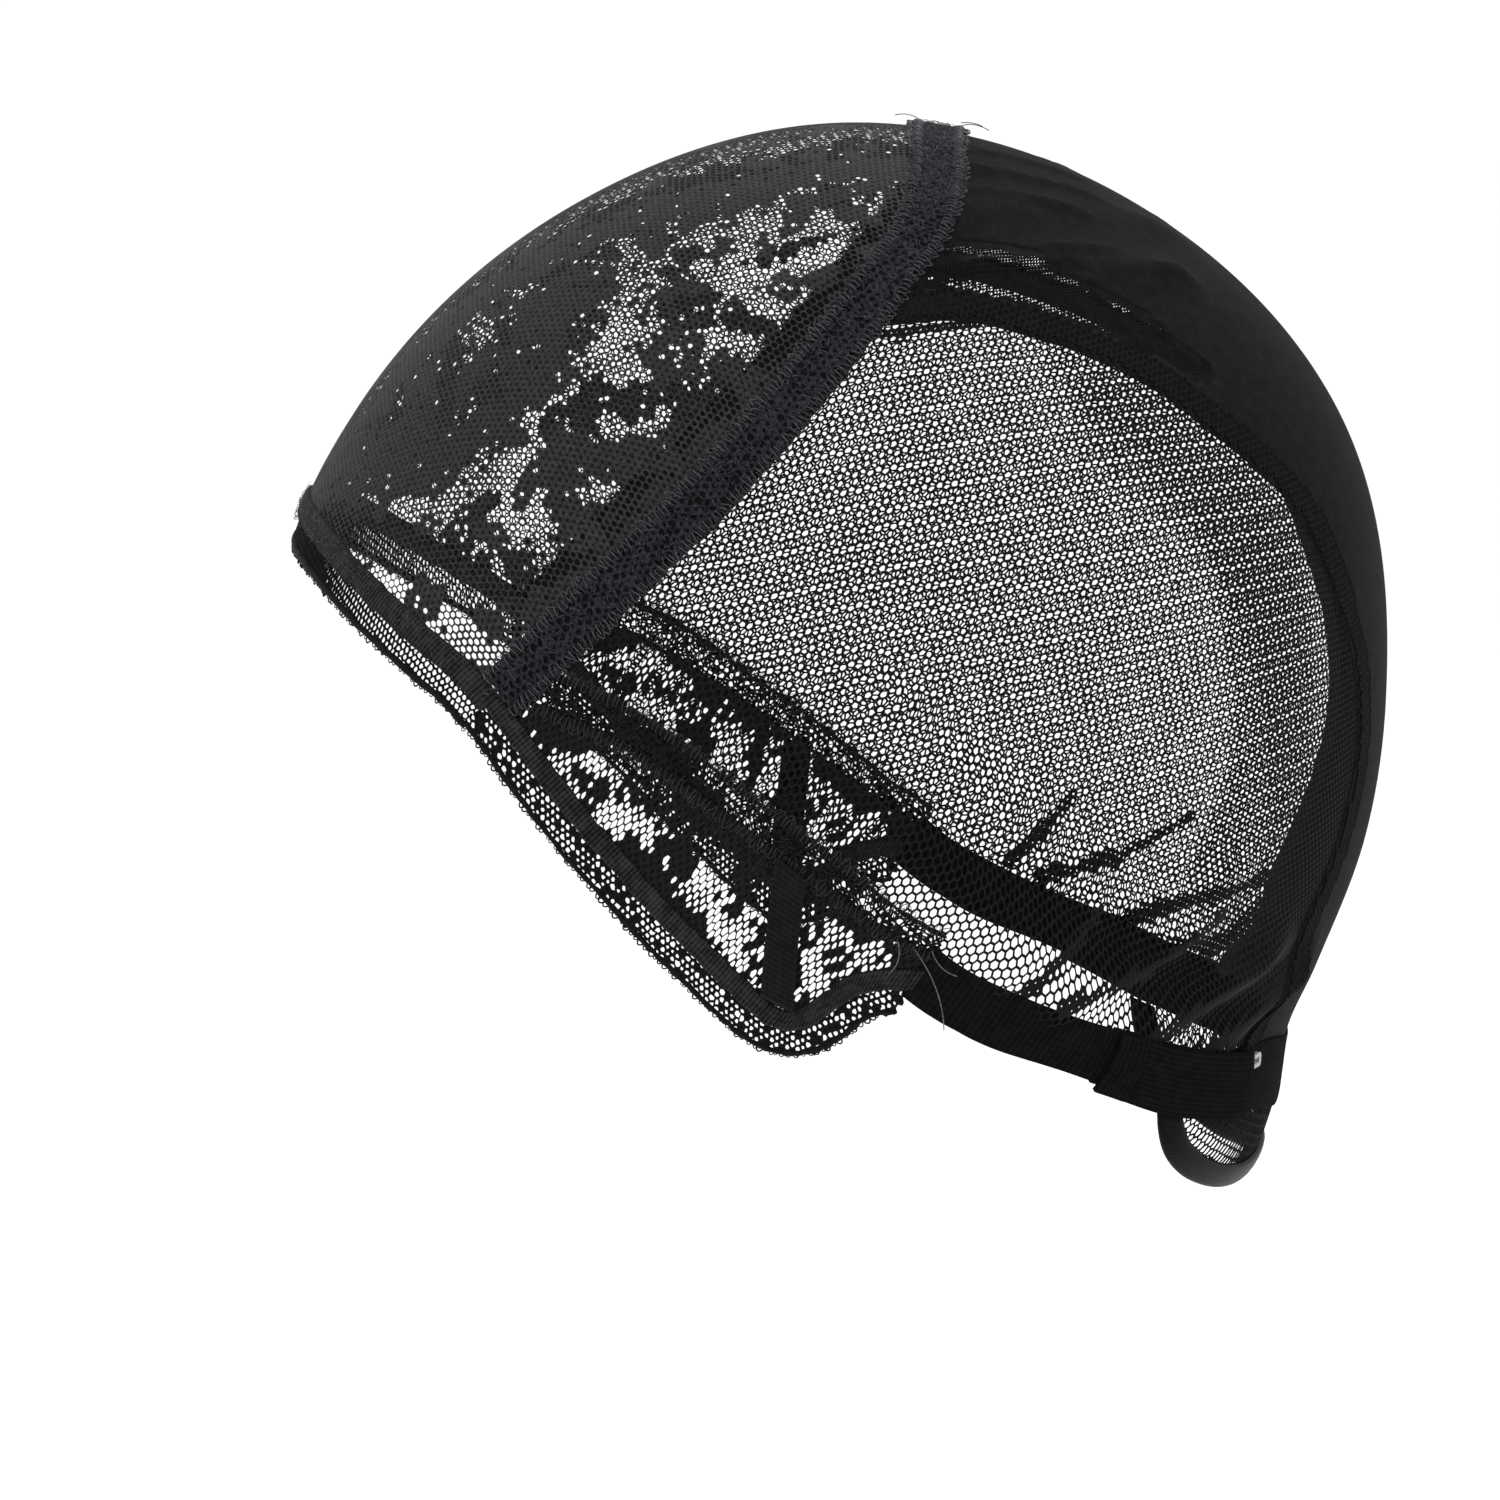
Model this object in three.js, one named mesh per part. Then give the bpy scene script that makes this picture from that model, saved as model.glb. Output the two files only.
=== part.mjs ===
// A wig cap in the form that it has when worn: a lace front, a crown band, side nets, a knit back,
// two ear tabs, an adjustable elastic at the nape and a nape tab.
// Millimetres. +X is the wearer's left, +Y the back, +Z up.
// The origin is the top of the inside of the crown, where the cap sits on what holds it up.
import * as THREE from "three";

// The hollow that the cap encloses
const midRadius = 95; // inner face in the middle plane, times the shares in midProfile
const halfBreadth = 75; // inner face where the cap is widest
const templeFullness = 0.035; // how much fuller than an ellipse the temples are
const backFullness = 0.04; // how much wider the back is than the middle
const lowFullness = 0.08; // how much wider the ear tabs stand than an ellipse would

// Walls
const netWall = 1;
const laceWall = 1.1;
const knitWall = 1.1;
const hemWall = 1.3;
const tapeWall = 1.7;
const bandWall = 1.8;
const elasticWall = 1.2;
const sleeveWall = 0.9;

// Widths
const frontTapeWidth = 4.2;
const frontHemWidth = 4.6;
const tabTapeWidth = 4.8;
const tabHemFront = 4.4; // the hem outside the ear tab's tape, at its front end
const tabHemRear = 3; // and at its rear end
const crownBandWidth = 8.8;
const netEdgeWidth = 5.5;
const tabBandFront = 7; // the lace band over the ear tab, at its front end
const tabBandRear = 4.6; // and at its rear end
const tabStayWidth = 5.4;
const strapWidth = 10.2;
const sleeveWidth = 11.2;
const napeBindingWidth = 4.8;

// The elastic at the nape
const sleeveFromMiddle = 44; // from the middle of the nape to the sleeve's rear end, along the seam
const sleeveLength = 32;
const strapInSleeve = 22; // how far the strap reaches into its sleeve
const hookLength = 3;
const hookWidth = 2.4;
const hookThickness = 1.3;
const hookSlot = 0.9;
const hookInset = 2.2; // from the sleeve's end and from the seam to the hook's middle

// Clearances
const seamGap = 0.3; // between one piece and the next
const pinchWidth = 1.6; // the least width of a panel where two seams meet

// Folds
const foldHeight = 3; // the tallest fold of the gathered cloth
const foldEnd = 7; // over this length a fold dies out

// Reach of the inner face in the middle plane, as a share of midRadius.
// turn is in degrees from the back, over the crown and the front, round to the nape.
const midProfile = [
  { turn: 0, reach: 0.959 },
  { turn: 30, reach: 1.007 },
  { turn: 60, reach: 1.011 },
  { turn: 90, reach: 1.016 },
  { turn: 120, reach: 1.0 },
  { turn: 150, reach: 1.017 },
  { turn: 165, reach: 1.036 },
  { turn: 180, reach: 1.031 },
  { turn: 210, reach: 1.01 },
  { turn: 240, reach: 1.01 },
  { turn: 270, reach: 1.042 },
  { turn: 300, reach: 1.115 },
  { turn: 310, reach: 1.115 },
  { turn: 316, reach: 1.063 },
  { turn: 322, reach: 0.995 },
  { turn: 330, reach: 0.968 },
  { turn: 345, reach: 0.958 },
];

// Seams. Each row is a direction from the middle of the hollow: turn as above, and side in degrees
// out from the middle plane. The first four run from the middle plane out to the left.

// The middle of the tape along the front, past the crown band and round the ear tab
const edgeRows = [
  { turn: 160.5, side: 0 },
  { turn: 160.7, side: 8 },
  { turn: 161.5, side: 22 },
  { turn: 163.2, side: 32 },
  { turn: 165.4, side: 40 },
  { turn: 168, side: 46.5 },
  { turn: 170.8, side: 51.5 },
  { turn: 173.8, side: 54.2 },
  { turn: 177, side: 56.2 },
  { turn: 181, side: 58 },
  { turn: 189, side: 60.8 },
  { turn: 200, side: 63.2 },
  { turn: 211, side: 64.6 },
  { turn: 223.5, side: 65 },
  { turn: 235, side: 64.6 },
  { turn: 243.5, side: 63.7 },
  { turn: 249, side: 62.8 },
  { turn: 253, side: 62.1 },
  { turn: 256.5, side: 61.9 },
  { turn: 260, side: 62.4 },
  { turn: 263.3, side: 63.7 },
  { turn: 267, side: 65.5 },
  { turn: 271.5, side: 67 },
  { turn: 277.5, side: 67.7 },
  { turn: 283.5, side: 67.6 },
  { turn: 290, side: 67.2 },
];

// The middle of the band from ear to ear over the crown
const crownRows = [
  { turn: 81.2, side: 0 },
  { turn: 81.3, side: 12 },
  { turn: 81, side: 25 },
  { turn: 82.2, side: 35.5 },
  { turn: 88, side: 46 },
  { turn: 97, side: 54.2 },
  { turn: 110, side: 59.8 },
  { turn: 127, side: 62.6 },
  { turn: 145, side: 62.6 },
  { turn: 163, side: 59.8 },
  { turn: 171, side: 56.8 },
  { turn: 174.5, side: 54.8 },
  { turn: 178, side: 52.3 },
  { turn: 182, side: 49 },
];

// Where the nets and the knit meet the elastic, from the nape to the ear tab
const napeRows = [
  { turn: 322.4, side: 0 },
  { turn: 322.4, side: 10 },
  { turn: 322.2, side: 20.5 },
  { turn: 320.8, side: 28 },
  { turn: 319.2, side: 34 },
  { turn: 317.6, side: 40 },
  { turn: 315.6, side: 46.5 },
  { turn: 313.6, side: 51.5 },
  { turn: 311, side: 55.8 },
  { turn: 307.5, side: 60 },
  { turn: 303.2, side: 63.8 },
  { turn: 298.5, side: 67 },
  { turn: 294, side: 70.2 },
  { turn: 289, side: 74 },
];

// The middle of the binding round the nape tab
const napeBindingRows = [
  { turn: 311.8, side: 0 },
  { turn: 311.1, side: 8 },
  { turn: 309.4, side: 18 },
  { turn: 308.1, side: 26.5 },
  { turn: 307.5, side: 32.5 },
  { turn: 307.8, side: 37 },
  { turn: 309.2, side: 40.6 },
  { turn: 311.4, side: 43.4 },
];

// The middle of the net's doubled edge beside the knit, from the crown band to the nape
const netEdgeRows = [
  { turn: 87, side: 46.4 },
  { turn: 83, side: 45.8 },
  { turn: 74.5, side: 43.8 },
  { turn: 67, side: 42.9 },
  { turn: 60.5, side: 41.8 },
  { turn: 54, side: 40.4 },
  { turn: 47.5, side: 39.4 },
  { turn: 41.5, side: 38.3 },
  { turn: 35.5, side: 36.4 },
  { turn: 29, side: 33.6 },
  { turn: 23, side: 31 },
  { turn: 17, side: 29.2 },
  { turn: 12, side: 27.2 },
  { turn: 7, side: 24.8 },
  { turn: 1.5, side: 23 },
  { turn: 354.5, side: 22.6 },
  { turn: 348, side: 23.5 },
  { turn: 341, side: 24.7 },
  { turn: 335, side: 25.2 },
  { turn: 329, side: 25.6 },
  { turn: 324, side: 27 },
  { turn: 318, side: 30 },
];

// The middle of the lace band over the ear tab, from the crown band to the elastic
const tabBandRows = [
  { turn: 168.5, side: 54 },
  { turn: 169.8, side: 58.6 },
  { turn: 171.4, side: 62.6 },
  { turn: 174.5, side: 67.6 },
  { turn: 179.8, side: 71.4 },
  { turn: 189, side: 74.8 },
  { turn: 214, side: 78.4 },
  { turn: 244, side: 79 },
  { turn: 265.5, side: 77.4 },
  { turn: 279.5, side: 74.9 },
  { turn: 288.8, side: 72.3 },
  { turn: 295, side: 70.2 },
];

// Where the ear tab ends and the elastic begins, from above the net's edge to below the hem
const tabEndRows = [
  { turn: 303, side: 73.5 },
  { turn: 295, side: 71.2 },
  { turn: 287.5, side: 69 },
  { turn: 280.8, side: 66.2 },
  { turn: 276.5, side: 63.8 },
];

// The middle of the upright tape on the ear tab
const tabStayRows = [
  { turn: 238, side: 80.5 },
  { turn: 245, side: 76.5 },
  { turn: 251.5, side: 69.5 },
  { turn: 255, side: 63 },
  { turn: 257, side: 59.5 },
];

// Folds that pull up from the elastic, and ridges of the knit and the lace near the crown band.
// Each runs from one direction to another; height is a share of foldHeight and breadth is in mm.
const foldRows = [
  { turn: 304, side: 65, toTurn: 324, toSide: 60, height: 0.6, breadth: 3 },
  { turn: 308.5, side: 60, toTurn: 334, toSide: 45, height: 0.9, breadth: 3.4 },
  { turn: 313, side: 51, toTurn: 333, toSide: 32, height: 1, breadth: 3.6 },
  { turn: 318, side: 39, toTurn: 332, toSide: 21, height: 0.8, breadth: 3.2 },
  { turn: 80, side: 41.5, toTurn: 52, toSide: 21, height: 0.6, breadth: 4.2 },
  { turn: 78.5, side: 30, toTurn: 55, toSide: 8, height: 0.35, breadth: 4 },
  { turn: 103, side: 44, toTurn: 88, toSide: 40.5, height: 0.4, breadth: 3 },
];

// Mesh steps along and across the pieces
const steps = {
  crown: 36,
  edge: 36,
  tab: 32,
  laceAcross: 10,
  netTab: 8,
  netStrap: 20,
  netAcross: 14,
  knitAlong: 20,
  knitAcross: 18,
  netEdge: 26,
  tabBand: 18,
  tabAcross: 3,
  tabStay: 6,
  strap: 12,
  sleeve: 7,
  nape: 14,
};
const lineSteps = 260; // points of a seam before it is cut to length

const colours = {
  net: 0x1a1a1a,
  lace: 0x2e2e2e,
  knit: 0x141415,
  tape: 0x1c1c1e,
  crownBand: 0x26252b,
  elastic: 0x0c0c0d,
  binding: 0x0e0e0f,
  hook: 0xb9bdc2,
};

const radians = THREE.MathUtils.degToRad;
const degrees = THREE.MathUtils.radToDeg;

// The reach of the middle plane at any turn, by a smooth curve through the rows of midProfile
function reachAt(turn) {
  const count = midProfile.length;
  const knot = (i) => {
    const lap = Math.floor(i / count);
    const row = midProfile[i - lap * count];
    return { turn: row.turn + 360 * lap, reach: row.reach };
  };
  let i = count - 1;
  while (midProfile[i].turn > turn) i -= 1;
  const [before, start, end, after] = [knot(i - 1), knot(i), knot(i + 1), knot(i + 2)];
  const slope = (a, b) => (b.reach - a.reach) / (b.turn - a.turn);
  const tangent = (a, b, c) =>
    (slope(a, b) * (c.turn - b.turn) + slope(b, c) * (b.turn - a.turn)) / (c.turn - a.turn);
  const span = end.turn - start.turn;
  const t = (turn - start.turn) / span;
  const rise = tangent(before, start, end) * span;
  const fall = tangent(start, end, after) * span;
  const a = (2 * t - 3) * t * t + 1;
  const b = ((t - 2) * t + 1) * t;
  const c = (3 - 2 * t) * t * t;
  const d = (t - 1) * t * t;
  return a * start.reach + b * rise + c * end.reach + d * fall;
}

const crownReach = midRadius * reachAt(90);

function direction({ turn, side }) {
  const [t, s] = [radians(turn), radians(side)];
  return new THREE.Vector3(Math.sin(s), Math.cos(s) * Math.cos(t), Math.cos(s) * Math.sin(t));
}

// The point of the hollow's surface in a direction from its middle
function formPoint(d) {
  const turn = (degrees(Math.atan2(d.z, d.y)) + 360) % 360;
  const reach = midRadius * reachAt(turn);
  const full = 1 + templeFullness * (2 * Math.hypot(d.y, d.z) * d.x) ** 2;
  const wide = 1 + backFullness * d.y + lowFullness * ((1 - d.z) / 2) ** 2 * (1 - d.y);
  const x = halfBreadth * d.x * full * wide;
  return new THREE.Vector3(x, reach * d.y * full, reach * d.z * full - crownReach);
}

// Two directions square to d and to each other
function sideways(d) {
  const axis = Math.abs(d.x) < 0.7 ? new THREE.Vector3(1, 0, 0) : new THREE.Vector3(0, 1, 0);
  const first = new THREE.Vector3().crossVectors(d, axis).normalize();
  return [first, new THREE.Vector3().crossVectors(d, first)];
}

function formNormal(d) {
  const small = 1e-3;
  const [first, second] = sideways(d).map((s) => {
    const ahead = formPoint(d.clone().addScaledVector(s, small).normalize());
    return ahead.sub(formPoint(d.clone().addScaledVector(s, -small).normalize()));
  });
  const normal = first.cross(second).normalize();
  return normal.dot(d) < 0 ? normal.negate() : normal;
}

const folds = foldRows.map((row) => ({
  from: formPoint(direction(row)),
  to: formPoint(direction({ turn: row.toTurn, side: row.toSide })),
  height: row.height * foldHeight,
  breadth: row.breadth,
}));

// How far the folds lift the cloth at a point of the surface
function foldLift(point) {
  const mirrored = new THREE.Vector3(Math.abs(point.x), point.y, point.z);
  let lift = 0;
  for (const { from, to, height, breadth } of folds) {
    const line = to.clone().sub(from);
    const length = line.length();
    line.normalize();
    const offset = mirrored.clone().sub(from);
    const along = offset.dot(line);
    const away = offset.addScaledVector(line, -along).length();
    const fade = THREE.MathUtils.smoothstep(along, -foldEnd, 0);
    const end = 1 - THREE.MathUtils.smoothstep(along, length - foldEnd, length + foldEnd);
    lift += height * fade * end * Math.exp(-((away / breadth) ** 2));
  }
  return lift;
}

function surfacePoint(d, lift, folded) {
  const point = formPoint(d);
  const rise = lift + (folded ? foldLift(point) : 0);
  return point.addScaledVector(formNormal(d), rise);
}

const mirror = (d) => new THREE.Vector3(-d.x, d.y, d.z);

function smoothLine(points, count) {
  const curve = new THREE.CatmullRomCurve3(points, false, "centripetal");
  curve.arcLengthDivisions = 4 * count;
  return curve.getSpacedPoints(count).map((p) => p.normalize());
}

// A seam on one side
function openLine(rows) {
  return smoothLine(rows.map(direction), lineSteps);
}

// A seam that crosses the middle plane, as its left half, from the middle plane outwards
function halfLine(rows) {
  const left = rows.map(direction);
  const right = left.slice(1).reverse().map(mirror);
  const half = smoothLine([...right, ...left], 2 * lineSteps).slice(lineSteps);
  half[0].setX(0).normalize();
  return half;
}

// The seam moved along the surface to its own left, by a distance that may change along it
function shifted(line, distance, lastDistance = distance) {
  const last = line.length - 1;
  return line.map((d, i) => {
    const onMiddle = i === 0 && Math.abs(d.x) < 1e-6;
    const before = i > 0 ? line[i - 1] : onMiddle ? mirror(line[1]) : d;
    const along = line[Math.min(i + 1, last)].clone().sub(before);
    const across = new THREE.Vector3().crossVectors(d, along).normalize();
    const probe = 0.01;
    const ahead = formPoint(d.clone().addScaledVector(across, probe).normalize());
    const scale = ahead.distanceTo(formPoint(d)) / probe;
    const wanted = distance + ((lastDistance - distance) * i) / last;
    return d.clone().addScaledVector(across, wanted / scale).normalize();
  });
}

// Where a seam first meets another: the index before the meeting, and the meeting itself
function meeting(line, cutter) {
  const [lineNormal, cutterNormal] = [new THREE.Vector3(), new THREE.Vector3()];
  for (let i = 0; i + 1 < line.length; i += 1) {
    lineNormal.crossVectors(line[i], line[i + 1]);
    for (let j = 0; j + 1 < cutter.length; j += 1) {
      if (line[i].dot(cutter[j]) < 0.98) continue;
      if (lineNormal.dot(cutter[j]) * lineNormal.dot(cutter[j + 1]) > 0) continue;
      cutterNormal.crossVectors(cutter[j], cutter[j + 1]);
      const [start, end] = [cutterNormal.dot(line[i]), cutterNormal.dot(line[i + 1])];
      if (start * end > 0 || start === end) continue;
      return { i, point: line[i].clone().lerp(line[i + 1], start / (start - end)).normalize() };
    }
  }
  return null;
}

function before(line, cutter) {
  const met = meeting(line, cutter);
  return met ? [...line.slice(0, met.i + 1), met.point] : line;
}

function after(line, cutter) {
  const met = meeting(line, cutter);
  return met ? [met.point, ...line.slice(met.i + 1)] : line;
}

const reversed = (line) => [...line].reverse();

// The whole of a seam that crosses the middle plane, from its left end to its right end
const across = (half) => [...reversed(half), ...half.slice(1).map(mirror)];

// Points along a seam, evenly spaced or, with crowded, closer together towards its end
const evenly = (share) => share;
const crowded = (share) => (3 * share - share * share) / 2;

function stations(line, count, spacing = evenly) {
  const lengths = [0];
  for (let i = 1; i < line.length; i += 1) {
    lengths.push(lengths[i - 1] + line[i].distanceTo(line[i - 1]));
  }
  let i = 0;
  return Array.from({ length: count + 1 }, (_, k) => {
    const wanted = lengths[line.length - 1] * spacing(k / count);
    while (i + 2 < line.length && lengths[i + 1] < wanted) i += 1;
    const share = (wanted - lengths[i]) / Math.max(lengths[i + 1] - lengths[i], 1e-12);
    return line[i].clone().lerp(line[i + 1], share).normalize();
  });
}

// The real length of a seam, point by point
function surfaceLengths(line) {
  const points = line.map(formPoint);
  const lengths = [0];
  for (let i = 1; i < points.length; i += 1) {
    lengths.push(lengths[i - 1] + points[i].distanceTo(points[i - 1]));
  }
  return lengths;
}

const indexAt = (lengths, length) => lengths.findIndex((l) => l >= length);

// A grid of directions between two seams
function between(a, b, along, columns) {
  const [first, second] = [stations(a, along), stations(b, along)];
  return first.map((d, i) =>
    Array.from({ length: columns + 1 }, (_, j) => d.clone().lerp(second[i], j / columns).normalize()),
  );
}

// A grid of directions inside four borders of stations: near and far run along the grid, and start
// and end run from near to far
function inside(n, f, s, e, spacing = evenly) {
  const [along, columns] = [n.length - 1, s.length - 1];
  return n.map((_, i) => {
    const u = i / along;
    return s.map((_, j) => {
      const v = spacing(j / columns);
      const d = new THREE.Vector3();
      d.addScaledVector(n[i], 1 - v).addScaledVector(f[i], v);
      d.addScaledVector(s[j], 1 - u).addScaledVector(e[j], u);
      d.addScaledVector(n[0], -(1 - u) * (1 - v)).addScaledVector(n[along], -u * (1 - v));
      d.addScaledVector(f[0], -(1 - u) * v).addScaledVector(f[along], -u * v);
      return d.normalize();
    });
  });
}

// A closed wall between two grids of points of the same size
function wallGeometry(inner, outer) {
  const [rows, columns] = [inner.length, inner[0].length];
  const points = [...inner.flat(), ...outer.flat()];
  const at = (layer, i, j) => layer * rows * columns + i * columns + j;
  const faces = [];
  const quad = (a, b, c, d) => faces.push(a, b, c, a, c, d);
  for (let i = 0; i + 1 < rows; i += 1) {
    for (let j = 0; j + 1 < columns; j += 1) {
      quad(at(1, i, j), at(1, i + 1, j), at(1, i + 1, j + 1), at(1, i, j + 1));
      quad(at(0, i, j), at(0, i, j + 1), at(0, i + 1, j + 1), at(0, i + 1, j));
    }
    quad(at(0, i, 0), at(0, i + 1, 0), at(1, i + 1, 0), at(1, i, 0));
    const last = columns - 1;
    quad(at(0, i + 1, last), at(0, i, last), at(1, i, last), at(1, i + 1, last));
  }
  for (let j = 0; j + 1 < columns; j += 1) {
    quad(at(0, 0, j + 1), at(0, 0, j), at(1, 0, j), at(1, 0, j + 1));
    const last = rows - 1;
    quad(at(0, last, j), at(0, last, j + 1), at(1, last, j + 1), at(1, last, j));
  }
  let volume = 0;
  for (let k = 0; k < faces.length; k += 3) {
    const [a, b, c] = [points[faces[k]], points[faces[k + 1]], points[faces[k + 2]]];
    volume += a.dot(new THREE.Vector3().crossVectors(b, c));
  }
  if (volume < 0) faces.reverse();
  const geometry = new THREE.BufferGeometry().setFromPoints(points);
  geometry.setIndex(faces);
  geometry.computeVertexNormals();
  return geometry;
}

// The wall over a grid of directions; lift may change along the grid
function clothGeometry(grid, { wall, lift = 0, folded = false }) {
  const liftAt = (i) => (typeof lift === "function" ? lift(i / (grid.length - 1)) : lift);
  const layer = (rise) =>
    grid.map((row, i) => row.map((d) => surfacePoint(d, liftAt(i) + rise, folded)));
  return wallGeometry(layer(0), layer(wall));
}

const cap = new THREE.Group();

function addPiece(name, geometry, color, roughness, metalness = 0) {
  const material = new THREE.MeshStandardMaterial({ color, roughness, metalness });
  const mesh = new THREE.Mesh(geometry, material);
  mesh.name = name;
  cap.add(mesh);
  return mesh;
}

// The same piece on both sides of the cap
function addPair(name, geometryOf, color, roughness) {
  const flip = (grid) => grid.map((row) => row.map(mirror));
  addPiece(name + "_left", geometryOf((grid) => grid), color, roughness);
  addPiece(name + "_right", geometryOf(flip), color, roughness);
}

// Seams and the edges beside them
const edgeLine = halfLine(edgeRows);
const crownLine = halfLine(crownRows);
const napeLine = halfLine(napeRows);
const napeBindingLine = halfLine(napeBindingRows);
const netEdgeLine = openLine(netEdgeRows);
const tabBandLine = openLine(tabBandRows);
const tabEndLine = openLine(tabEndRows);
const tabStayLine = openLine(tabStayRows);

const crownFront = shifted(crownLine, -(crownBandWidth / 2 + seamGap));
const crownRear = shifted(crownLine, crownBandWidth / 2 + seamGap);
const frontInner = shifted(edgeLine, frontTapeWidth / 2 + seamGap);
const tabInner = shifted(edgeLine, tabTapeWidth / 2 + seamGap);
const bandFoot = shifted(edgeLine, Math.max(frontTapeWidth, tabTapeWidth) / 2 + seamGap);
const tabBandUpper = shifted(tabBandLine, tabBandFront / 2 + seamGap, tabBandRear / 2 + seamGap);
const tabBandLower = shifted(tabBandLine, -tabBandFront / 2 - seamGap, -tabBandRear / 2 - seamGap);
const netEdgeOuter = shifted(netEdgeLine, -(netEdgeWidth / 2 + seamGap));
const netEdgeInner = shifted(netEdgeLine, netEdgeWidth / 2 + seamGap);
const napeUpper = shifted(napeLine, -seamGap / 2);
const napeLower = shifted(napeLine, seamGap / 2);
const elasticFoot = shifted(napeLine, seamGap / 2 + sleeveWidth + seamGap);
const tabEndFront = shifted(tabEndLine, -seamGap / 2);
const tabEndRear = shifted(tabEndLine, seamGap / 2);
const joinFront = shifted(crownLine, -seamGap / 2);
const joinRear = shifted(crownLine, seamGap / 2);

function addFront() {
  const cut = (distance) => across(before(shifted(edgeLine, distance), joinFront));
  const tapeHalf = frontTapeWidth / 2;
  const tape = between(cut(tapeHalf), cut(-tapeHalf), steps.edge, 1);
  addPiece("front_binding_tape", clothGeometry(tape, { wall: tapeWall }), colours.tape, 0.9);
  const hemEdge = tapeHalf + seamGap;
  const hem = between(cut(-hemEdge), cut(-hemEdge - frontHemWidth), steps.edge, 1);
  addPiece("front_hem_net", clothGeometry(hem, { wall: hemWall }), colours.net, 0.9);

  const corner = shifted(crownLine, -(crownBandWidth / 2 + seamGap + pinchWidth));
  const nearFront = across(before(frontInner, corner));
  const nearCrown = across(before(crownFront, frontInner));
  const lace = between(nearFront, nearCrown, steps.crown, steps.laceAcross);
  const geometry = clothGeometry(lace, { wall: laceWall, folded: true });
  addPiece("lace_front_panel", geometry, colours.lace, 0.9);
}

function addCrownBand() {
  const edge = (distance) => across(before(shifted(crownLine, distance), bandFoot));
  const grid = between(edge(-crownBandWidth / 2), edge(crownBandWidth / 2), steps.crown, 1);
  const geometry = clothGeometry(grid, { wall: bandWall, folded: true });
  addPiece("crown_band", geometry, colours.crownBand, 0.95);
}

function addSideNets() {
  const front = before(after(crownRear, netEdgeOuter), tabBandUpper);
  const alongTab = before(after(tabBandUpper, crownRear), tabEndRear);
  const alongStrap = reversed(before(after(napeUpper, netEdgeOuter), tabEndRear));
  const bottom = [...stations(alongTab, steps.netTab), ...stations(alongStrap, steps.netStrap)];
  const edge = before(after(netEdgeOuter, crownRear), napeUpper);
  const cornerShare = 0.3; // where the edge beside the knit turns down
  const turnAt = Math.round(edge.length * cornerShare);
  const top = stations(edge.slice(0, turnAt + 1), bottom.length - 1);
  const rear = stations(edge.slice(turnAt), steps.netAcross, crowded);
  const grid = inside(top, bottom, stations(front, steps.netAcross, crowded), rear, crowded);
  const geometryOf = (side) => clothGeometry(side(grid), { wall: netWall, folded: true });
  addPair("side_net", geometryOf, colours.net, 0.85);
}

function addNetEdges() {
  const edge = (distance) =>
    before(after(shifted(netEdgeLine, distance), crownRear), napeUpper);
  const grid = between(edge(netEdgeWidth / 2), edge(-netEdgeWidth / 2), steps.netEdge, 1);
  const geometryOf = (side) => clothGeometry(side(grid), { wall: hemWall, folded: true });
  addPair("net_edge_strip", geometryOf, colours.net, 0.85);
}

function addBackPanel() {
  const top = stations(across(before(crownRear, netEdgeInner)), steps.knitAcross);
  const bottom = stations(across(before(napeUpper, netEdgeInner)), steps.knitAcross);
  const left = stations(before(after(netEdgeInner, crownRear), napeUpper), steps.knitAlong);
  const grid = inside(top, bottom, left, left.map(mirror));
  const geometry = clothGeometry(grid, { wall: knitWall, folded: true });
  addPiece("back_panel", geometry, colours.knit, 0.55);
}

function addEarTabs() {
  const cut = (from, to = from) =>
    before(after(shifted(edgeLine, from, to), joinRear), tabEndFront);
  const tapeHalf = tabTapeWidth / 2;
  const tape = between(cut(tapeHalf), cut(-tapeHalf), steps.tab, 1);
  addPair(
    "ear_tab_binding",
    (side) => clothGeometry(side(tape), { wall: tapeWall }),
    colours.tape,
    0.9,
  );

  const hemEdge = tapeHalf + seamGap;
  const hem = between(cut(-hemEdge), cut(-hemEdge - tabHemFront, -hemEdge - tabHemRear), steps.tab, 1);
  addPair("ear_tab_hem", (side) => clothGeometry(side(hem), { wall: hemWall }), colours.net, 0.9);

  const bandEdge = (sign) => {
    const line = shifted(tabBandLine, (sign * tabBandFront) / 2, (sign * tabBandRear) / 2);
    return before(after(line, crownRear), tabEndFront);
  };
  const band = between(bandEdge(1), bandEdge(-1), steps.tabBand, 1);
  addPair("ear_tab_band", (side) => clothGeometry(side(band), { wall: tapeWall }), colours.lace, 0.95);

  const corner = shifted(edgeLine, tapeHalf + seamGap + pinchWidth);
  const upper = before(before(after(tabBandLower, crownRear), corner), tabEndFront);
  const lower = before(before(after(tabInner, crownRear), tabBandLower), tabEndFront);
  const lace = between(upper, lower, steps.tabBand, steps.tabAcross);
  addPair("ear_tab_lace", (side) => clothGeometry(side(lace), { wall: laceWall }), colours.lace, 0.9);

  const stayEdge = (distance) =>
    before(after(shifted(tabStayLine, distance), tabBandLower), tabInner);
  const stayHalf = tabStayWidth / 2;
  const stay = between(stayEdge(stayHalf), stayEdge(-stayHalf), steps.tabStay, 1);
  const seat = laceWall + seamGap;
  addPair(
    "ear_tab_stay",
    (side) => clothGeometry(side(stay), { wall: elasticWall, lift: seat }),
    colours.tape,
    0.9,
  );
}

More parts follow.
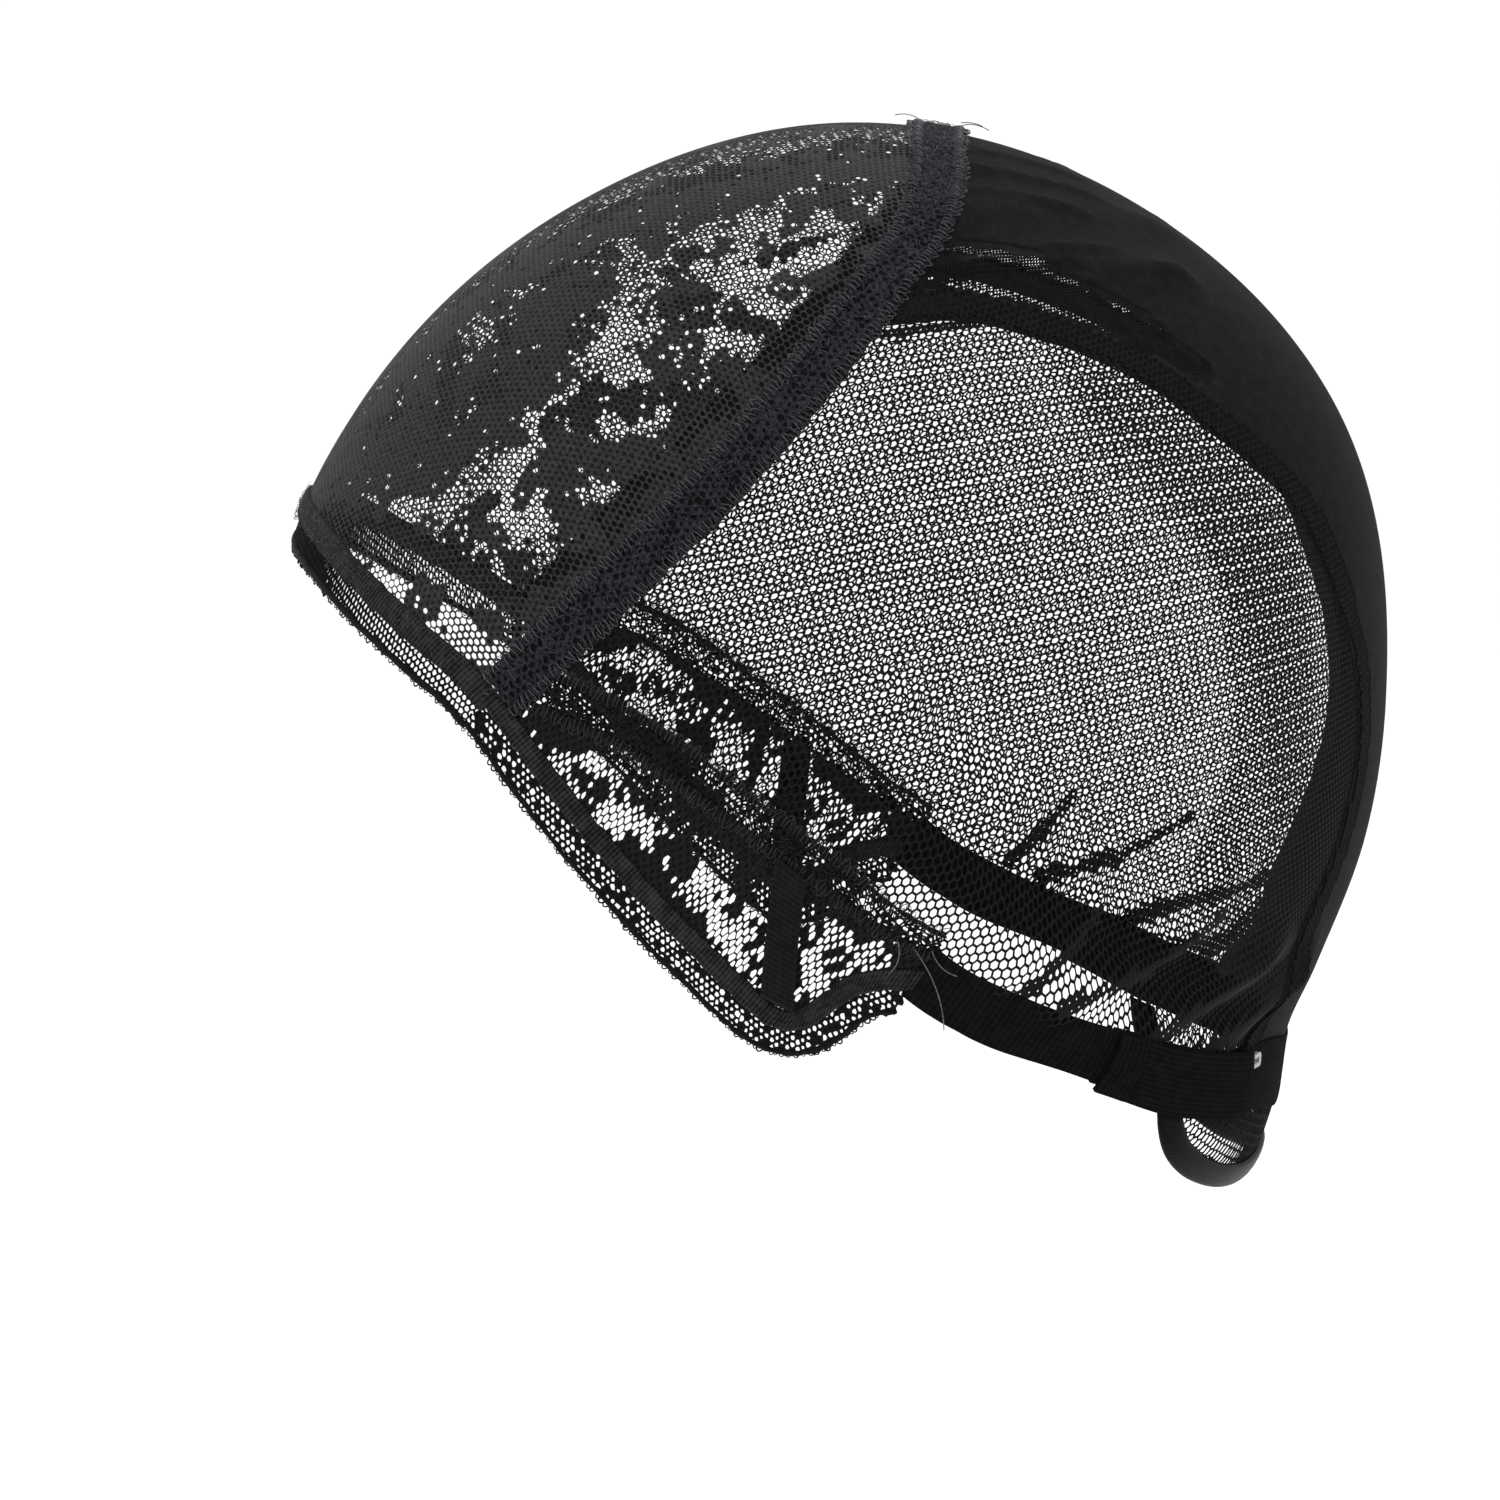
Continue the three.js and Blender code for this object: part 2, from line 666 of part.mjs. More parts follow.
// A sleeve folded over at its rear end, open towards the strap, as one wall with a U-shaped path
function sleeveGeometry(grid) {
  const mouth = grid.length - 1;
  const roof = 2 * sleeveWall + elasticWall + 2 * seamGap;
  const row = (i, rise) => grid[i].map((d) => surfacePoint(d, rise, false));
  const under = [];
  const over = [];
  for (let i = mouth; i >= 0; i -= 1) {
    under.push(row(i, 0));
    over.push(row(Math.max(i, 1), sleeveWall));
  }
  for (let i = 0; i <= mouth; i += 1) {
    under.push(row(i, roof));
    over.push(row(Math.max(i, 1), roof - sleeveWall));
  }
  return wallGeometry(under, over);
}

function addElastic() {
  const lengths = surfaceLengths(napeLine);
  const sleeveRear = indexAt(lengths, sleeveFromMiddle);
  const sleeveMouth = indexAt(lengths, sleeveFromMiddle + sleeveLength);
  const strapRear = indexAt(lengths, sleeveFromMiddle + sleeveLength - strapInSleeve);
  const tapeEnd = indexAt(lengths, sleeveFromMiddle - seamGap);

  const sleeveLow = shifted(napeLine, seamGap / 2 + sleeveWidth);
  const part = (line, from, to) => line.slice(from, to + 1);
  const sleeve = between(
    part(napeLower, sleeveRear, sleeveMouth),
    part(sleeveLow, sleeveRear, sleeveMouth),
    steps.sleeve,
    2,
  );
  addPair("strap_casing", (side) => sleeveGeometry(side(sleeve)), colours.elastic, 0.95);

  const strapLow = shifted(napeLine, seamGap / 2 + strapWidth);
  const strapEdge = (line) => before(line.slice(strapRear), tabEndRear);
  const strap = between(strapEdge(napeLower), strapEdge(strapLow), steps.strap, 2);
  const inSleeve = sleeveWall + seamGap;
  const strapLength = lengths[lengths.length - 1] - lengths[strapRear];
  const rise = (share) => {
    const outside = share * strapLength - strapInSleeve;
    return inSleeve * (1 - THREE.MathUtils.smoothstep(outside, strapWidth / 4, 2 * strapWidth));
  };
  addPair(
    "nape_strap",
    (side) => clothGeometry(side(strap), { wall: elasticWall, lift: rise }),
    colours.elastic,
    0.95,
  );

  const tape = between(
    across(part(napeLower, 0, tapeEnd)),
    across(part(sleeveLow, 0, tapeEnd)),
    steps.nape,
    2,
  );
  addPiece("nape_tape", clothGeometry(tape, { wall: elasticWall }), colours.elastic, 0.8);

  const hookAt = napeLower[indexAt(lengths, sleeveFromMiddle - hookInset)];
  const down = shifted(napeLine, hookInset)[indexAt(lengths, sleeveFromMiddle - hookInset)];
  addHooks(down, hookAt);
}

// A small open hook, its slot towards the sleeve
function hookGeometry() {
  const [l, w] = [hookLength / 2, hookWidth / 2];
  const corner = hookWidth / 4;
  const outline = new THREE.Shape();
  outline.moveTo(-l + corner, -w);
  outline.lineTo(l - corner, -w);
  outline.absarc(l - corner, -w + corner, corner, -Math.PI / 2, 0, false);
  outline.lineTo(l, w - corner);
  outline.absarc(l - corner, w - corner, corner, 0, Math.PI / 2, false);
  outline.lineTo(-l + corner, w);
  outline.absarc(-l + corner, w - corner, corner, Math.PI / 2, Math.PI, false);
  outline.lineTo(-l, hookSlot / 2);
  outline.lineTo(l / 2, hookSlot / 2);
  outline.lineTo(l / 2, -hookSlot / 2);
  outline.lineTo(-l, -hookSlot / 2);
  outline.lineTo(-l, -w + corner);
  outline.absarc(-l + corner, -w + corner, corner, Math.PI, 1.5 * Math.PI, false);
  return new THREE.ExtrudeGeometry(outline, {
    depth: hookThickness,
    bevelEnabled: false,
    curveSegments: 2,
  });
}

function addHooks(d, above) {
  for (const [side, name] of [
    [(v) => v.clone(), "strap_hook_left"],
    [mirror, "strap_hook_right"],
  ]) {
    const normal = formNormal(side(d));
    const up = formPoint(side(above)).sub(formPoint(side(d)));
    const y = up.addScaledVector(normal, -up.dot(normal)).normalize();
    const x = new THREE.Vector3().crossVectors(y, normal);
    const hook = addPiece(name, hookGeometry(), colours.hook, 0.2, 0.6);
    hook.quaternion.setFromRotationMatrix(new THREE.Matrix4().makeBasis(x, y, normal));
    hook.position.copy(surfacePoint(side(d), elasticWall + 1.5 * seamGap, false));
  }
}

function addNapeTab() {
  const half = napeBindingWidth / 2;
  const edge = (distance) => across(before(shifted(napeBindingLine, distance), elasticFoot));
  const binding = between(edge(-half), edge(half), 2 * steps.nape, 1);
  const bindingWall = clothGeometry(binding, { wall: tapeWall });
  addPiece("nape_tab_binding", bindingWall, colours.binding, 0.6);

  const corner = shifted(napeBindingLine, -(half + seamGap + pinchWidth));
  const upper = across(before(elasticFoot, corner));
  const inner = shifted(napeBindingLine, -(half + seamGap));
  const lower = across(before(inner, elasticFoot));
  const net = between(upper, lower, steps.nape, 3);
  addPiece("nape_tab_net", clothGeometry(net, { wall: netWall }), colours.net, 0.85);
}

addFront();
addCrownBand();
addSideNets();
addNetEdges();
addBackPanel();
addEarTabs();
addElastic();
addNapeTab();

export default cap;
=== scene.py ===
import math

import bpy
import numpy as np
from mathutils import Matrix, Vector

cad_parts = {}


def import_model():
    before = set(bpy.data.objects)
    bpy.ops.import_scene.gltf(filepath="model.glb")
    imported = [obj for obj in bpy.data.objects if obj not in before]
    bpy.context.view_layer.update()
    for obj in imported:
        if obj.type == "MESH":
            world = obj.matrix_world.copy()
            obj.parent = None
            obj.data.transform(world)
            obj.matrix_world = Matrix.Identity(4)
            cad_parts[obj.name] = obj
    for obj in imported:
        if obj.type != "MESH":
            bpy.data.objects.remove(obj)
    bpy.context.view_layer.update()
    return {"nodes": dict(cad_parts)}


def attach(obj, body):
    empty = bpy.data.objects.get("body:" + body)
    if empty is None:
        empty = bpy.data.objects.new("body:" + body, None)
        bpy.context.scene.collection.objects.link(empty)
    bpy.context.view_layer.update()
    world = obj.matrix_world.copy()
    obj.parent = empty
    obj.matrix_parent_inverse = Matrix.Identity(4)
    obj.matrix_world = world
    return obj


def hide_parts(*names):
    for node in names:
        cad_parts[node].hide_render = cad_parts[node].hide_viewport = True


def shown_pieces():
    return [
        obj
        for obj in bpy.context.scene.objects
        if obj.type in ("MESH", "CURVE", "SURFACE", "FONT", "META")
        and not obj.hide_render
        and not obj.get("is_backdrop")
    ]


# A wig cap in the form that it has when worn: lace front, crown band, side nets, knit back,
# ear tabs, nape elastic and nape tab. Sizes here are in millimetres; metre turns them to metres.
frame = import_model()
metre = 0.001
print("frame loaded:", len(frame["nodes"]), "nodes")


# The form that the cap is stretched to

form = {
    "midRadius": 95,
    "halfBreadth": 75,
    "templeFullness": 0.035,
    "backFullness": 0.04,
    "lowFullness": 0.08,
    "foldHeight": 3,
    "foldEnd": 7,
    # turn in degrees from the back over the crown, reach as a share of midRadius
    "profile": [
        (0, 0.959), (30, 1.007), (60, 1.011), (90, 1.016), (120, 1.0), (150, 1.017),
        (165, 1.036), (180, 1.031), (210, 1.01), (240, 1.01), (270, 1.042), (300, 1.115),
        (310, 1.115), (316, 1.063), (322, 0.995), (330, 0.968), (345, 0.958),
    ],
    # turn, side, toTurn, toSide, share of foldHeight, breadth
    "folds": [
        (304, 65, 324, 60, 0.6, 3),
        (308.5, 60, 334, 45, 0.9, 3.4),
        (313, 51, 333, 32, 1, 3.6),
        (318, 39, 332, 21, 0.8, 3.2),
        (80, 41.5, 52, 21, 0.6, 4.2),
        (78.5, 30, 55, 8, 0.35, 4),
        (103, 44, 88, 40.5, 0.4, 3),
    ],
}

# Seams, each a list of (turn, side) in degrees from the middle of the hollow
seams = {
    "edge": [
        (160.5, 0), (160.7, 8), (161.5, 22), (163.2, 32), (165.4, 40), (168, 46.5),
        (170.8, 51.5), (173.8, 54.2), (177, 56.2), (181, 58), (189, 60.8), (200, 63.2),
        (211, 64.6), (223.5, 65), (235, 64.6), (243.5, 63.7), (249, 62.8), (253, 62.1),
        (256.5, 61.9), (260, 62.4), (263.3, 63.7), (267, 65.5), (271.5, 67), (277.5, 67.7),
        (283.5, 67.6), (290, 67.2),
    ],
    "crown": [
        (81.2, 0), (81.3, 12), (81, 25), (82.2, 35.5), (88, 46), (97, 54.2), (110, 59.8),
        (127, 62.6), (145, 62.6), (163, 59.8), (171, 56.8), (174.5, 54.8), (178, 52.3),
        (182, 49),
    ],
    "nape": [
        (322.4, 0), (322.4, 10), (322.2, 20.5), (320.8, 28), (319.2, 34), (317.6, 40),
        (315.6, 46.5), (313.6, 51.5), (311, 55.8), (307.5, 60), (303.2, 63.8), (298.5, 67),
        (294, 70.2), (289, 74),
    ],
    "napeBinding": [
        (311.8, 0), (311.1, 8), (309.4, 18), (308.1, 26.5), (307.5, 32.5), (307.8, 37),
        (309.2, 40.6), (311.4, 43.4),
    ],
    "netEdge": [
        (87, 46.4), (83, 45.8), (74.5, 43.8), (67, 42.9), (60.5, 41.8), (54, 40.4),
        (47.5, 39.4), (41.5, 38.3), (35.5, 36.4), (29, 33.6), (23, 31), (17, 29.2),
        (12, 27.2), (7, 24.8), (1.5, 23), (354.5, 22.6), (348, 23.5), (341, 24.7),
        (335, 25.2), (329, 25.6), (324, 27), (318, 30),
    ],
    "tabBand": [
        (168.5, 54), (169.8, 58.6), (171.4, 62.6), (174.5, 67.6), (179.8, 71.4), (189, 74.8),
        (214, 78.4), (244, 79), (265.5, 77.4), (279.5, 74.9), (288.8, 72.3), (295, 70.2),
    ],
    "tabEnd": [(303, 73.5), (295, 71.2), (287.5, 69), (280.8, 66.2), (276.5, 63.8)],
    "tabStay": [(238, 80.5), (245, 76.5), (251.5, 69.5), (255, 63), (257, 59.5)],
}
seamGap = 0.3
lineSteps = 260
bothSides = (("left", False), ("right", True))


def direction(turn, side):
    t, s = np.radians(turn), np.radians(side)
    return np.stack([np.sin(s), np.cos(s) * np.cos(t), np.cos(s) * np.sin(t)], -1)


def unit(v):
    return v / np.linalg.norm(v, axis=-1, keepdims=True)


def mirrored(v):
    return v * np.array([-1, 1, 1])


def smoothStep(x, low, high):
    t = np.clip((x - low) / (high - low), 0, 1)
    return t * t * (3 - 2 * t)


def reachAt(turn):
    rows = np.array(form["profile"], float)
    lap = np.array([360, 0])
    t, r = np.vstack([rows[-2:] - lap, rows, rows[:3] + lap]).T
    gap = np.diff(t)
    slope = np.diff(r) / gap
    tangent = (slope[:-1] * gap[1:] + slope[1:] * gap[:-1]) / (t[2:] - t[:-2])
    i = np.clip(np.searchsorted(t, turn, side="right") - 1, 1, len(t) - 3)
    s = (turn - t[i]) / gap[i]
    start, end = tangent[i - 1] * gap[i], tangent[i] * gap[i]
    rise = ((2 * s - 3) * s * s + 1) * r[i] + (3 - 2 * s) * s * s * r[i + 1]
    return rise + ((s - 2) * s + 1) * s * start + (s - 1) * s * s * end


crownReach = form["midRadius"] * float(reachAt(np.array([90.0]))[0])


def formPoint(d):
    x, y, z = np.moveaxis(d, -1, 0)
    turn = np.degrees(np.arctan2(z, y)) % 360
    reach = form["midRadius"] * reachAt(turn)
    full = 1 + form["templeFullness"] * (2 * np.hypot(y, z) * x) ** 2
    low = form["lowFullness"] * ((1 - z) / 2) ** 2 * (1 - y)
    wide = 1 + form["backFullness"] * y + low
    wideX = form["halfBreadth"] * x * full * wide
    return np.stack([wideX, reach * y * full, reach * z * full - crownReach], -1)


def formNormal(d):
    small = 1e-3
    axis = np.where(np.abs(d[..., :1]) < 0.7, np.array([1.0, 0, 0]), np.array([0, 1.0, 0]))
    first = unit(np.cross(d, axis))
    second = np.cross(d, first)
    steps = [formPoint(unit(d + s * small)) - formPoint(unit(d - s * small)) for s in (first, second)]
    normal = unit(np.cross(*steps))
    return normal * np.sign(np.sum(normal * d, -1, keepdims=True))


def segmentReach(points, row):
    # Distances of points, both sides alike, from the straight line between two places on the form
    start, end = formPoint(direction(*row[0:2])), formPoint(direction(*row[2:4]))
    line = end - start
    length = np.linalg.norm(line)
    offset = points * np.sign(points[..., :1] + 1e-9) ** np.array([1, 0, 0]) - start
    along = offset @ (line / length)
    clamped = np.clip(along, 0, length)[..., None] * (line / length)
    away = np.linalg.norm(offset - along[..., None] * (line / length), axis=-1)
    return along, length, away, np.linalg.norm(offset - clamped, axis=-1)


def ridgeLift(points, rows, height, end):
    # Each row runs from one place to another: turn, side, toTurn, toSide, share of height, breadth
    lift = np.zeros(points.shape[:-1])
    for row in rows:
        along, length, away, _ = segmentReach(points, row)
        fade = smoothStep(along, -end, 0) * (1 - smoothStep(along, length - end, length + end))
        lift += row[4] * height * fade * np.exp(-((away / row[5]) ** 2))
    return lift


def foldLift(points):
    return ridgeLift(points, form["folds"], form["foldHeight"], form["foldEnd"])


def surfacePoint(d, lift, folded=True):
    points = formPoint(d)
    rise = lift + (foldLift(points) if folded else 0)
    return points + formNormal(d) * np.broadcast_to(rise, points.shape[:-1])[..., None]


# Seam lines on the sphere of directions

def smoothLine(rows, count):
    points = [2 * rows[0] - rows[1], *rows, 2 * rows[-1] - rows[-2]]
    samples = []
    for p0, p1, p2, p3 in zip(points, points[1:], points[2:], points[3:]):
        d0, d1, d2 = (np.linalg.norm(b - a) ** 0.5 for a, b in ((p0, p1), (p1, p2), (p2, p3)))
        m1 = ((p1 - p0) / d0 - (p2 - p0) / (d0 + d1) + (p2 - p1) / d1) * d1
        m2 = ((p2 - p1) / d1 - (p3 - p1) / (d1 + d2) + (p3 - p2) / d2) * d1
        t = np.linspace(0, 1, 32, endpoint=False)[:, None]
        curve = (2 * t**3 - 3 * t**2 + 1) * p1 + (3 * t**2 - 2 * t**3) * p2
        samples.append(curve + (t**3 - 2 * t**2 + t) * m1 + (t**3 - t**2) * m2)
    samples = np.vstack([*samples, rows[-1:]])
    return stations(samples, count)


def stations(line, count):
    lengths = np.concatenate([[0], np.cumsum(np.linalg.norm(np.diff(line, axis=0), axis=1))])
    wanted = np.linspace(0, lengths[-1], count + 1)
    return unit(np.stack([np.interp(wanted, lengths, line[:, k]) for k in range(3)], -1))


def openLine(rows):
    return smoothLine(direction(*np.array(rows, float).T), lineSteps)


def halfLine(rows):
    left = direction(*np.array(rows, float).T)
    return smoothLine(np.vstack([mirrored(left[:0:-1]), left]), 2 * lineSteps)[lineSteps:]


def shifted(line, distance, lastDistance=None):
    # Moved along the surface to the line's own left, by a distance that may change along it
    ahead = np.vstack([line[1:], line[-1:]])
    behind = np.vstack([line[:1], line[:-1]])
    if abs(line[0, 0]) < 1e-6:
        behind[0] = mirrored(line[1])
    across = unit(np.cross(line, ahead - behind))
    probe = 0.01
    scale = np.linalg.norm(formPoint(unit(line + across * probe)) - formPoint(line), axis=1) / probe
    wanted = np.linspace(distance, distance if lastDistance is None else lastDistance, len(line))
    return unit(line + across * (wanted / scale)[:, None])


def meeting(line, cutter):
    lineNormal = np.cross(line[:-1], line[1:])
    cutNormal = np.cross(cutter[:-1], cutter[1:])
    near = line[:-1] @ cutter[:-1].T > 0.98
    sides = lineNormal @ cutter.T
    spans = cutNormal @ line.T
    crossed = near & (sides[:, :-1] * sides[:, 1:] <= 0) & ((spans[:, :-1] * spans[:, 1:]).T <= 0)
    found = np.argwhere(crossed)
    if not len(found):
        return None
    i, j = found[0]
    share = spans[j, i] / (spans[j, i] - spans[j, i + 1])
    return i, unit(line[i] + (line[i + 1] - line[i]) * share)


def before(line, cutter):
    met = meeting(line, cutter)
    return line if met is None else np.vstack([line[: met[0] + 1], met[1]])


def after(line, cutter):
    met = meeting(line, cutter)
    return line if met is None else np.vstack([met[1], line[met[0] + 1 :]])


def across(half):
    return np.vstack([half[::-1], mirrored(half[1:])])


def loopOf(*borders):
    return np.vstack(borders)


edgeLine = halfLine(seams["edge"])
crownLine = halfLine(seams["crown"])
napeLine = halfLine(seams["nape"])
napeBindingLine = halfLine(seams["napeBinding"])
netEdgeLine = openLine(seams["netEdge"])
tabBandLine = openLine(seams["tabBand"])
tabEndLine = openLine(seams["tabEnd"])
tabStayLine = openLine(seams["tabStay"])
print("seams drawn")


# Nodes and materials

def addNode(tree, kind, links=(), **settings):
    node = tree.nodes.new(kind)
    for key, value in settings.items():
        setattr(node, key, value)
    for key, source in dict(links).items():
        if isinstance(source, bpy.types.NodeSocket):
            tree.links.new(source, node.inputs[key])
        else:
            node.inputs[key].default_value = source
    return node


def linearColour(code):
    parts = [int(code[i : i + 2], 16) / 255 for i in (1, 3, 5)]
    return (*[c / 12.92 if c <= 0.04045 else ((c + 0.055) / 1.055) ** 2.4 for c in parts], 1)


def startMaterial(name):
    material = bpy.data.materials.new(name)
    material.use_nodes = True
    tree = material.node_tree
    return material, tree, tree.nodes["Principled BSDF"]


def makeYarn(name, dark, light, grain, height, roughness=0.85, specular=0.1, sheen=0.03):
    # Matt textured polyester yarn: uneven in tone, with soft fuzz that catches a little light, and painted
    # shade, near black, on the sunk floors of net cells
    material, tree, shader = startMaterial(name)
    place = addNode(tree, "ShaderNodeTexCoord")
    noise = addNode(
        tree, "ShaderNodeTexNoise",
        {"Vector": place.outputs["Object"], "Scale": 1 / (grain * metre), "Detail": 4, "Roughness": 0.65},
    )
    ramp = addNode(tree, "ShaderNodeValToRGB", {"Fac": noise.outputs["Fac"]})
    ramp.color_ramp.elements[0].position = 0.35
    ramp.color_ramp.elements[0].color = linearColour(dark)
    ramp.color_ramp.elements[1].position = 0.7
    ramp.color_ramp.elements[1].color = linearColour(light)
    bump = addNode(
        tree, "ShaderNodeBump", {"Height": noise.outputs["Fac"], "Distance": height * metre, "Strength": 0.8}
    )
    # Painted shade in the recesses: faces marked as sunk cell floors are mixed to near-black #020202
    painted_pit_shade = addNode(tree, "ShaderNodeAttribute", attribute_name="painted_pit_shade")
    withPaintedShade = addNode(
        tree, "ShaderNodeMix",
        {0: painted_pit_shade.outputs["Fac"], 6: ramp.outputs["Color"], 7: linearColour("#020202")}, data_type="RGBA",
    )
    tree.links.new(withPaintedShade.outputs[2], shader.inputs["Base Color"])
    tree.links.new(bump.outputs["Normal"], shader.inputs["Normal"])
    finish(shader, roughness, specular, sheen)
    return material


def finish(shader, roughness, specular, sheen):
    shader.inputs["Roughness"].default_value = roughness
    shader.inputs["Specular IOR Level"].default_value = specular
    shader.inputs["Sheen Weight"].default_value = sheen
    shader.inputs["Sheen Roughness"].default_value = 0.5


def makeRibbed(name, dark, light, rib, height, roughness=0.85, specular=0.08, sheen=0.02, crossRib=0.0):
    # Woven or knitted cloth with fine ribs across its own UV map, which is in millimetres
    material, tree, shader = startMaterial(name)
    place = addNode(tree, "ShaderNodeUVMap", uv_map="cloth")
    split = addNode(tree, "ShaderNodeSeparateXYZ", {"Vector": place.outputs["UV"]})
    turn = addNode(
        tree, "ShaderNodeMath", {0: split.outputs["X"], 1: 2 * math.pi / rib}, operation="MULTIPLY"
    )
    wave = addNode(tree, "ShaderNodeMath", {0: turn.outputs[0]}, operation="SINE")
    step = crossRib if crossRib else rib * 1.4
    crossTurn = addNode(
        tree, "ShaderNodeMath", {0: split.outputs["Y"], 1: 2 * math.pi / step}, operation="MULTIPLY"
    )
    crossWave = addNode(tree, "ShaderNodeMath", {0: crossTurn.outputs[0]}, operation="SINE")
    mixed = addNode(
        tree, "ShaderNodeMath", {0: crossWave.outputs[0], 1: 0.35, 2: wave.outputs[0]},
        operation="MULTIPLY_ADD",
    )
    spots = addNode(tree, "ShaderNodeTexCoord")
    noise = addNode(
        tree, "ShaderNodeTexNoise",
        {"Vector": spots.outputs["Object"], "Scale": 1 / (2.2 * metre), "Detail": 5, "Roughness": 0.6},
    )
    tone = addNode(
        tree, "ShaderNodeMath", {0: mixed.outputs[0], 1: 0.16, 2: noise.outputs["Fac"]},
        operation="MULTIPLY_ADD",
    )
    ramp = addNode(tree, "ShaderNodeValToRGB", {"Fac": tone.outputs[0]})
    ramp.color_ramp.elements[0].position = 0.3
    ramp.color_ramp.elements[0].color = linearColour(dark)
    ramp.color_ramp.elements[1].position = 0.75
    ramp.color_ramp.elements[1].color = linearColour(light)
    bump = addNode(
        tree, "ShaderNodeBump", {"Height": mixed.outputs[0], "Distance": height * metre, "Strength": 0.6}
    )
    tree.links.new(ramp.outputs["Color"], shader.inputs["Base Color"])
    tree.links.new(bump.outputs["Normal"], shader.inputs["Normal"])
    finish(shader, roughness, specular, sheen)
    return material


def makeClearPlastic():
    # Clear moulded polycarbonate, slightly frosted by wear
    material, tree, shader = startMaterial("clear_polycarbonate")
    place = addNode(tree, "ShaderNodeTexCoord")
    noise = addNode(
        tree, "ShaderNodeTexNoise", {"Vector": place.outputs["Object"], "Scale": 1 / (0.8 * metre)}
    )
    rough = addNode(
        tree, "ShaderNodeMapRange",
        {"Value": noise.outputs["Fac"], "To Min": 0.05, "To Max": 0.25},
    )
    tree.links.new(rough.outputs[0], shader.inputs["Roughness"])
    shader.inputs["Base Color"].default_value = linearColour("#d7dbe0")
    shader.inputs["IOR"].default_value = 1.58
    shader.inputs["Transmission Weight"].default_value = 0.75
    return material


netYarn = makeYarn("polyester_net_yarn", "#060606", "#121212", 0.6, 0.03)
laceYarn = makeYarn("textured_lace_yarn", "#0e0e0e", "#313132", 0.5, 0.06, specular=0.16, sheen=0.05)
blackLaceYarn = makeYarn("black_tab_lace_yarn", "#080808", "#1a1a1b", 0.5, 0.06)
bandCloth = makeYarn("brushed_stretch_lace_band", "#0a0a0c", "#34333b", 0.5, 0.4, specular=0.08, sheen=0.03)
stitchThread = makeYarn("overlock_thread", "#0f0f12", "#48484f", 0.4, 0.02, roughness=0.5, specular=0.45)
darkThread = makeYarn("black_overlock_thread", "#0b0b0c", "#2c2c2e", 0.4, 0.02, roughness=0.6, specular=0.25)
looseThread = makeYarn("loose_grey_thread", "#3a3a3e", "#6a6a70", 0.4, 0.02)
knitCloth = makeRibbed(
    "satin_stretch_knit", "#0d0d0e", "#18181a", 0.55, 0.06, roughness=0.65, specular=0.012, sheen=0.01
)
tapeCloth = makeRibbed("woven_polyester_tape", "#070708", "#2c2c2d", 0.7, 0.25)
stayCloth = makeRibbed("knitted_stay_tape", "#060606", "#131314", 0.9, 0.2, crossRib=1.35)
elasticCloth = makeRibbed("knitted_elastic", "#0a0a0b", "#121213", 0.9, 0.05, specular=0.012, sheen=0.0)
satinBinding = makeRibbed(
    "satin_nylon_binding", "#070708", "#0e0e0f", 0.4, 0.02, roughness=0.35, specular=0.02, sheen=0.0
)
clearPlastic = makeClearPlastic()
print("materials made")


# Geometry Nodes trees

def startTree(name, inputs):
    tree = bpy.data.node_groups.new(name, "GeometryNodeTree")
    for label, kind in inputs:
        tree.interface.new_socket(label, in_out="INPUT", socket_type=kind)
    tree.interface.new_socket("Result", in_out="OUTPUT", socket_type="NodeSocketGeometry")
    return tree, tree.nodes.new("NodeGroupInput")


def endTree(tree, geometry, material):
    real = addNode(tree, "GeometryNodeRealizeInstances", {"Geometry": geometry})
    smooth = addNode(tree, "GeometryNodeSetShadeSmooth", {"Geometry": real.outputs["Geometry"]})
    coloured = addNode(
        tree, "GeometryNodeSetMaterial", {"Geometry": smooth.outputs["Geometry"], "Material": material}
    )
    addNode(tree, "NodeGroupOutput", {"Result": coloured.outputs["Geometry"]})
    return tree


def buildNetTree():
    # Opens every face of a sheet by its own share, which leaves the strands between the holes, and marks the
    # sunk floors of the cells for painted shade
    tree, given = startTree(
        "net holes",
        [
            ("Sheet", "NodeSocketGeometry"),
            ("Strand depth", "NodeSocketFloat"),
            ("Least opening", "NodeSocketFloat"),
            ("Yarn", "NodeSocketMaterial"),
        ],
    )
    opening = addNode(tree, "GeometryNodeInputNamedAttribute", {"Name": "opening"}, data_type="FLOAT")
    inward = addNode(tree, "ShaderNodeMath", {0: given.outputs["Strand depth"], 1: -1}, operation="MULTIPLY")
    sunk = addNode(
        tree, "GeometryNodeExtrudeMesh",
        {"Mesh": given.outputs["Sheet"], "Offset Scale": inward.outputs[0], "Individual": True},
        mode="FACES",
    )
    scaled = addNode(
        tree, "GeometryNodeScaleElements",
        {
            "Geometry": sunk.outputs["Mesh"],
            "Selection": sunk.outputs["Top"],
            "Scale": opening.outputs["Attribute"],
        },
        domain="FACE",
    )
    # The sunk floors of the cells are marked so that the yarn's material paints shade on them
    paintedPitShade = addNode(
        tree, "GeometryNodeStoreNamedAttribute",
        {
            "Geometry": scaled.outputs["Geometry"],
            "Selection": sunk.outputs["Top"],
            "Name": "painted_pit_shade",
            "Value": 1.0,
        },
        data_type="FLOAT", domain="FACE",
    )
    wide = addNode(
        tree, "FunctionNodeCompare",
        {0: opening.outputs["Attribute"], 1: given.outputs["Least opening"]},
        data_type="FLOAT", operation="GREATER_THAN",
    )
    both = addNode(
        tree, "FunctionNodeBooleanMath", {0: sunk.outputs["Top"], 1: wide.outputs["Result"]}, operation="AND"
    )
    cut = addNode(
        tree, "GeometryNodeDeleteGeometry",
        {"Geometry": paintedPitShade.outputs["Geometry"], "Selection": both.outputs["Boolean"]},
        domain="FACE",
    )
    return endTree(tree, cut.outputs["Geometry"], given.outputs["Yarn"])


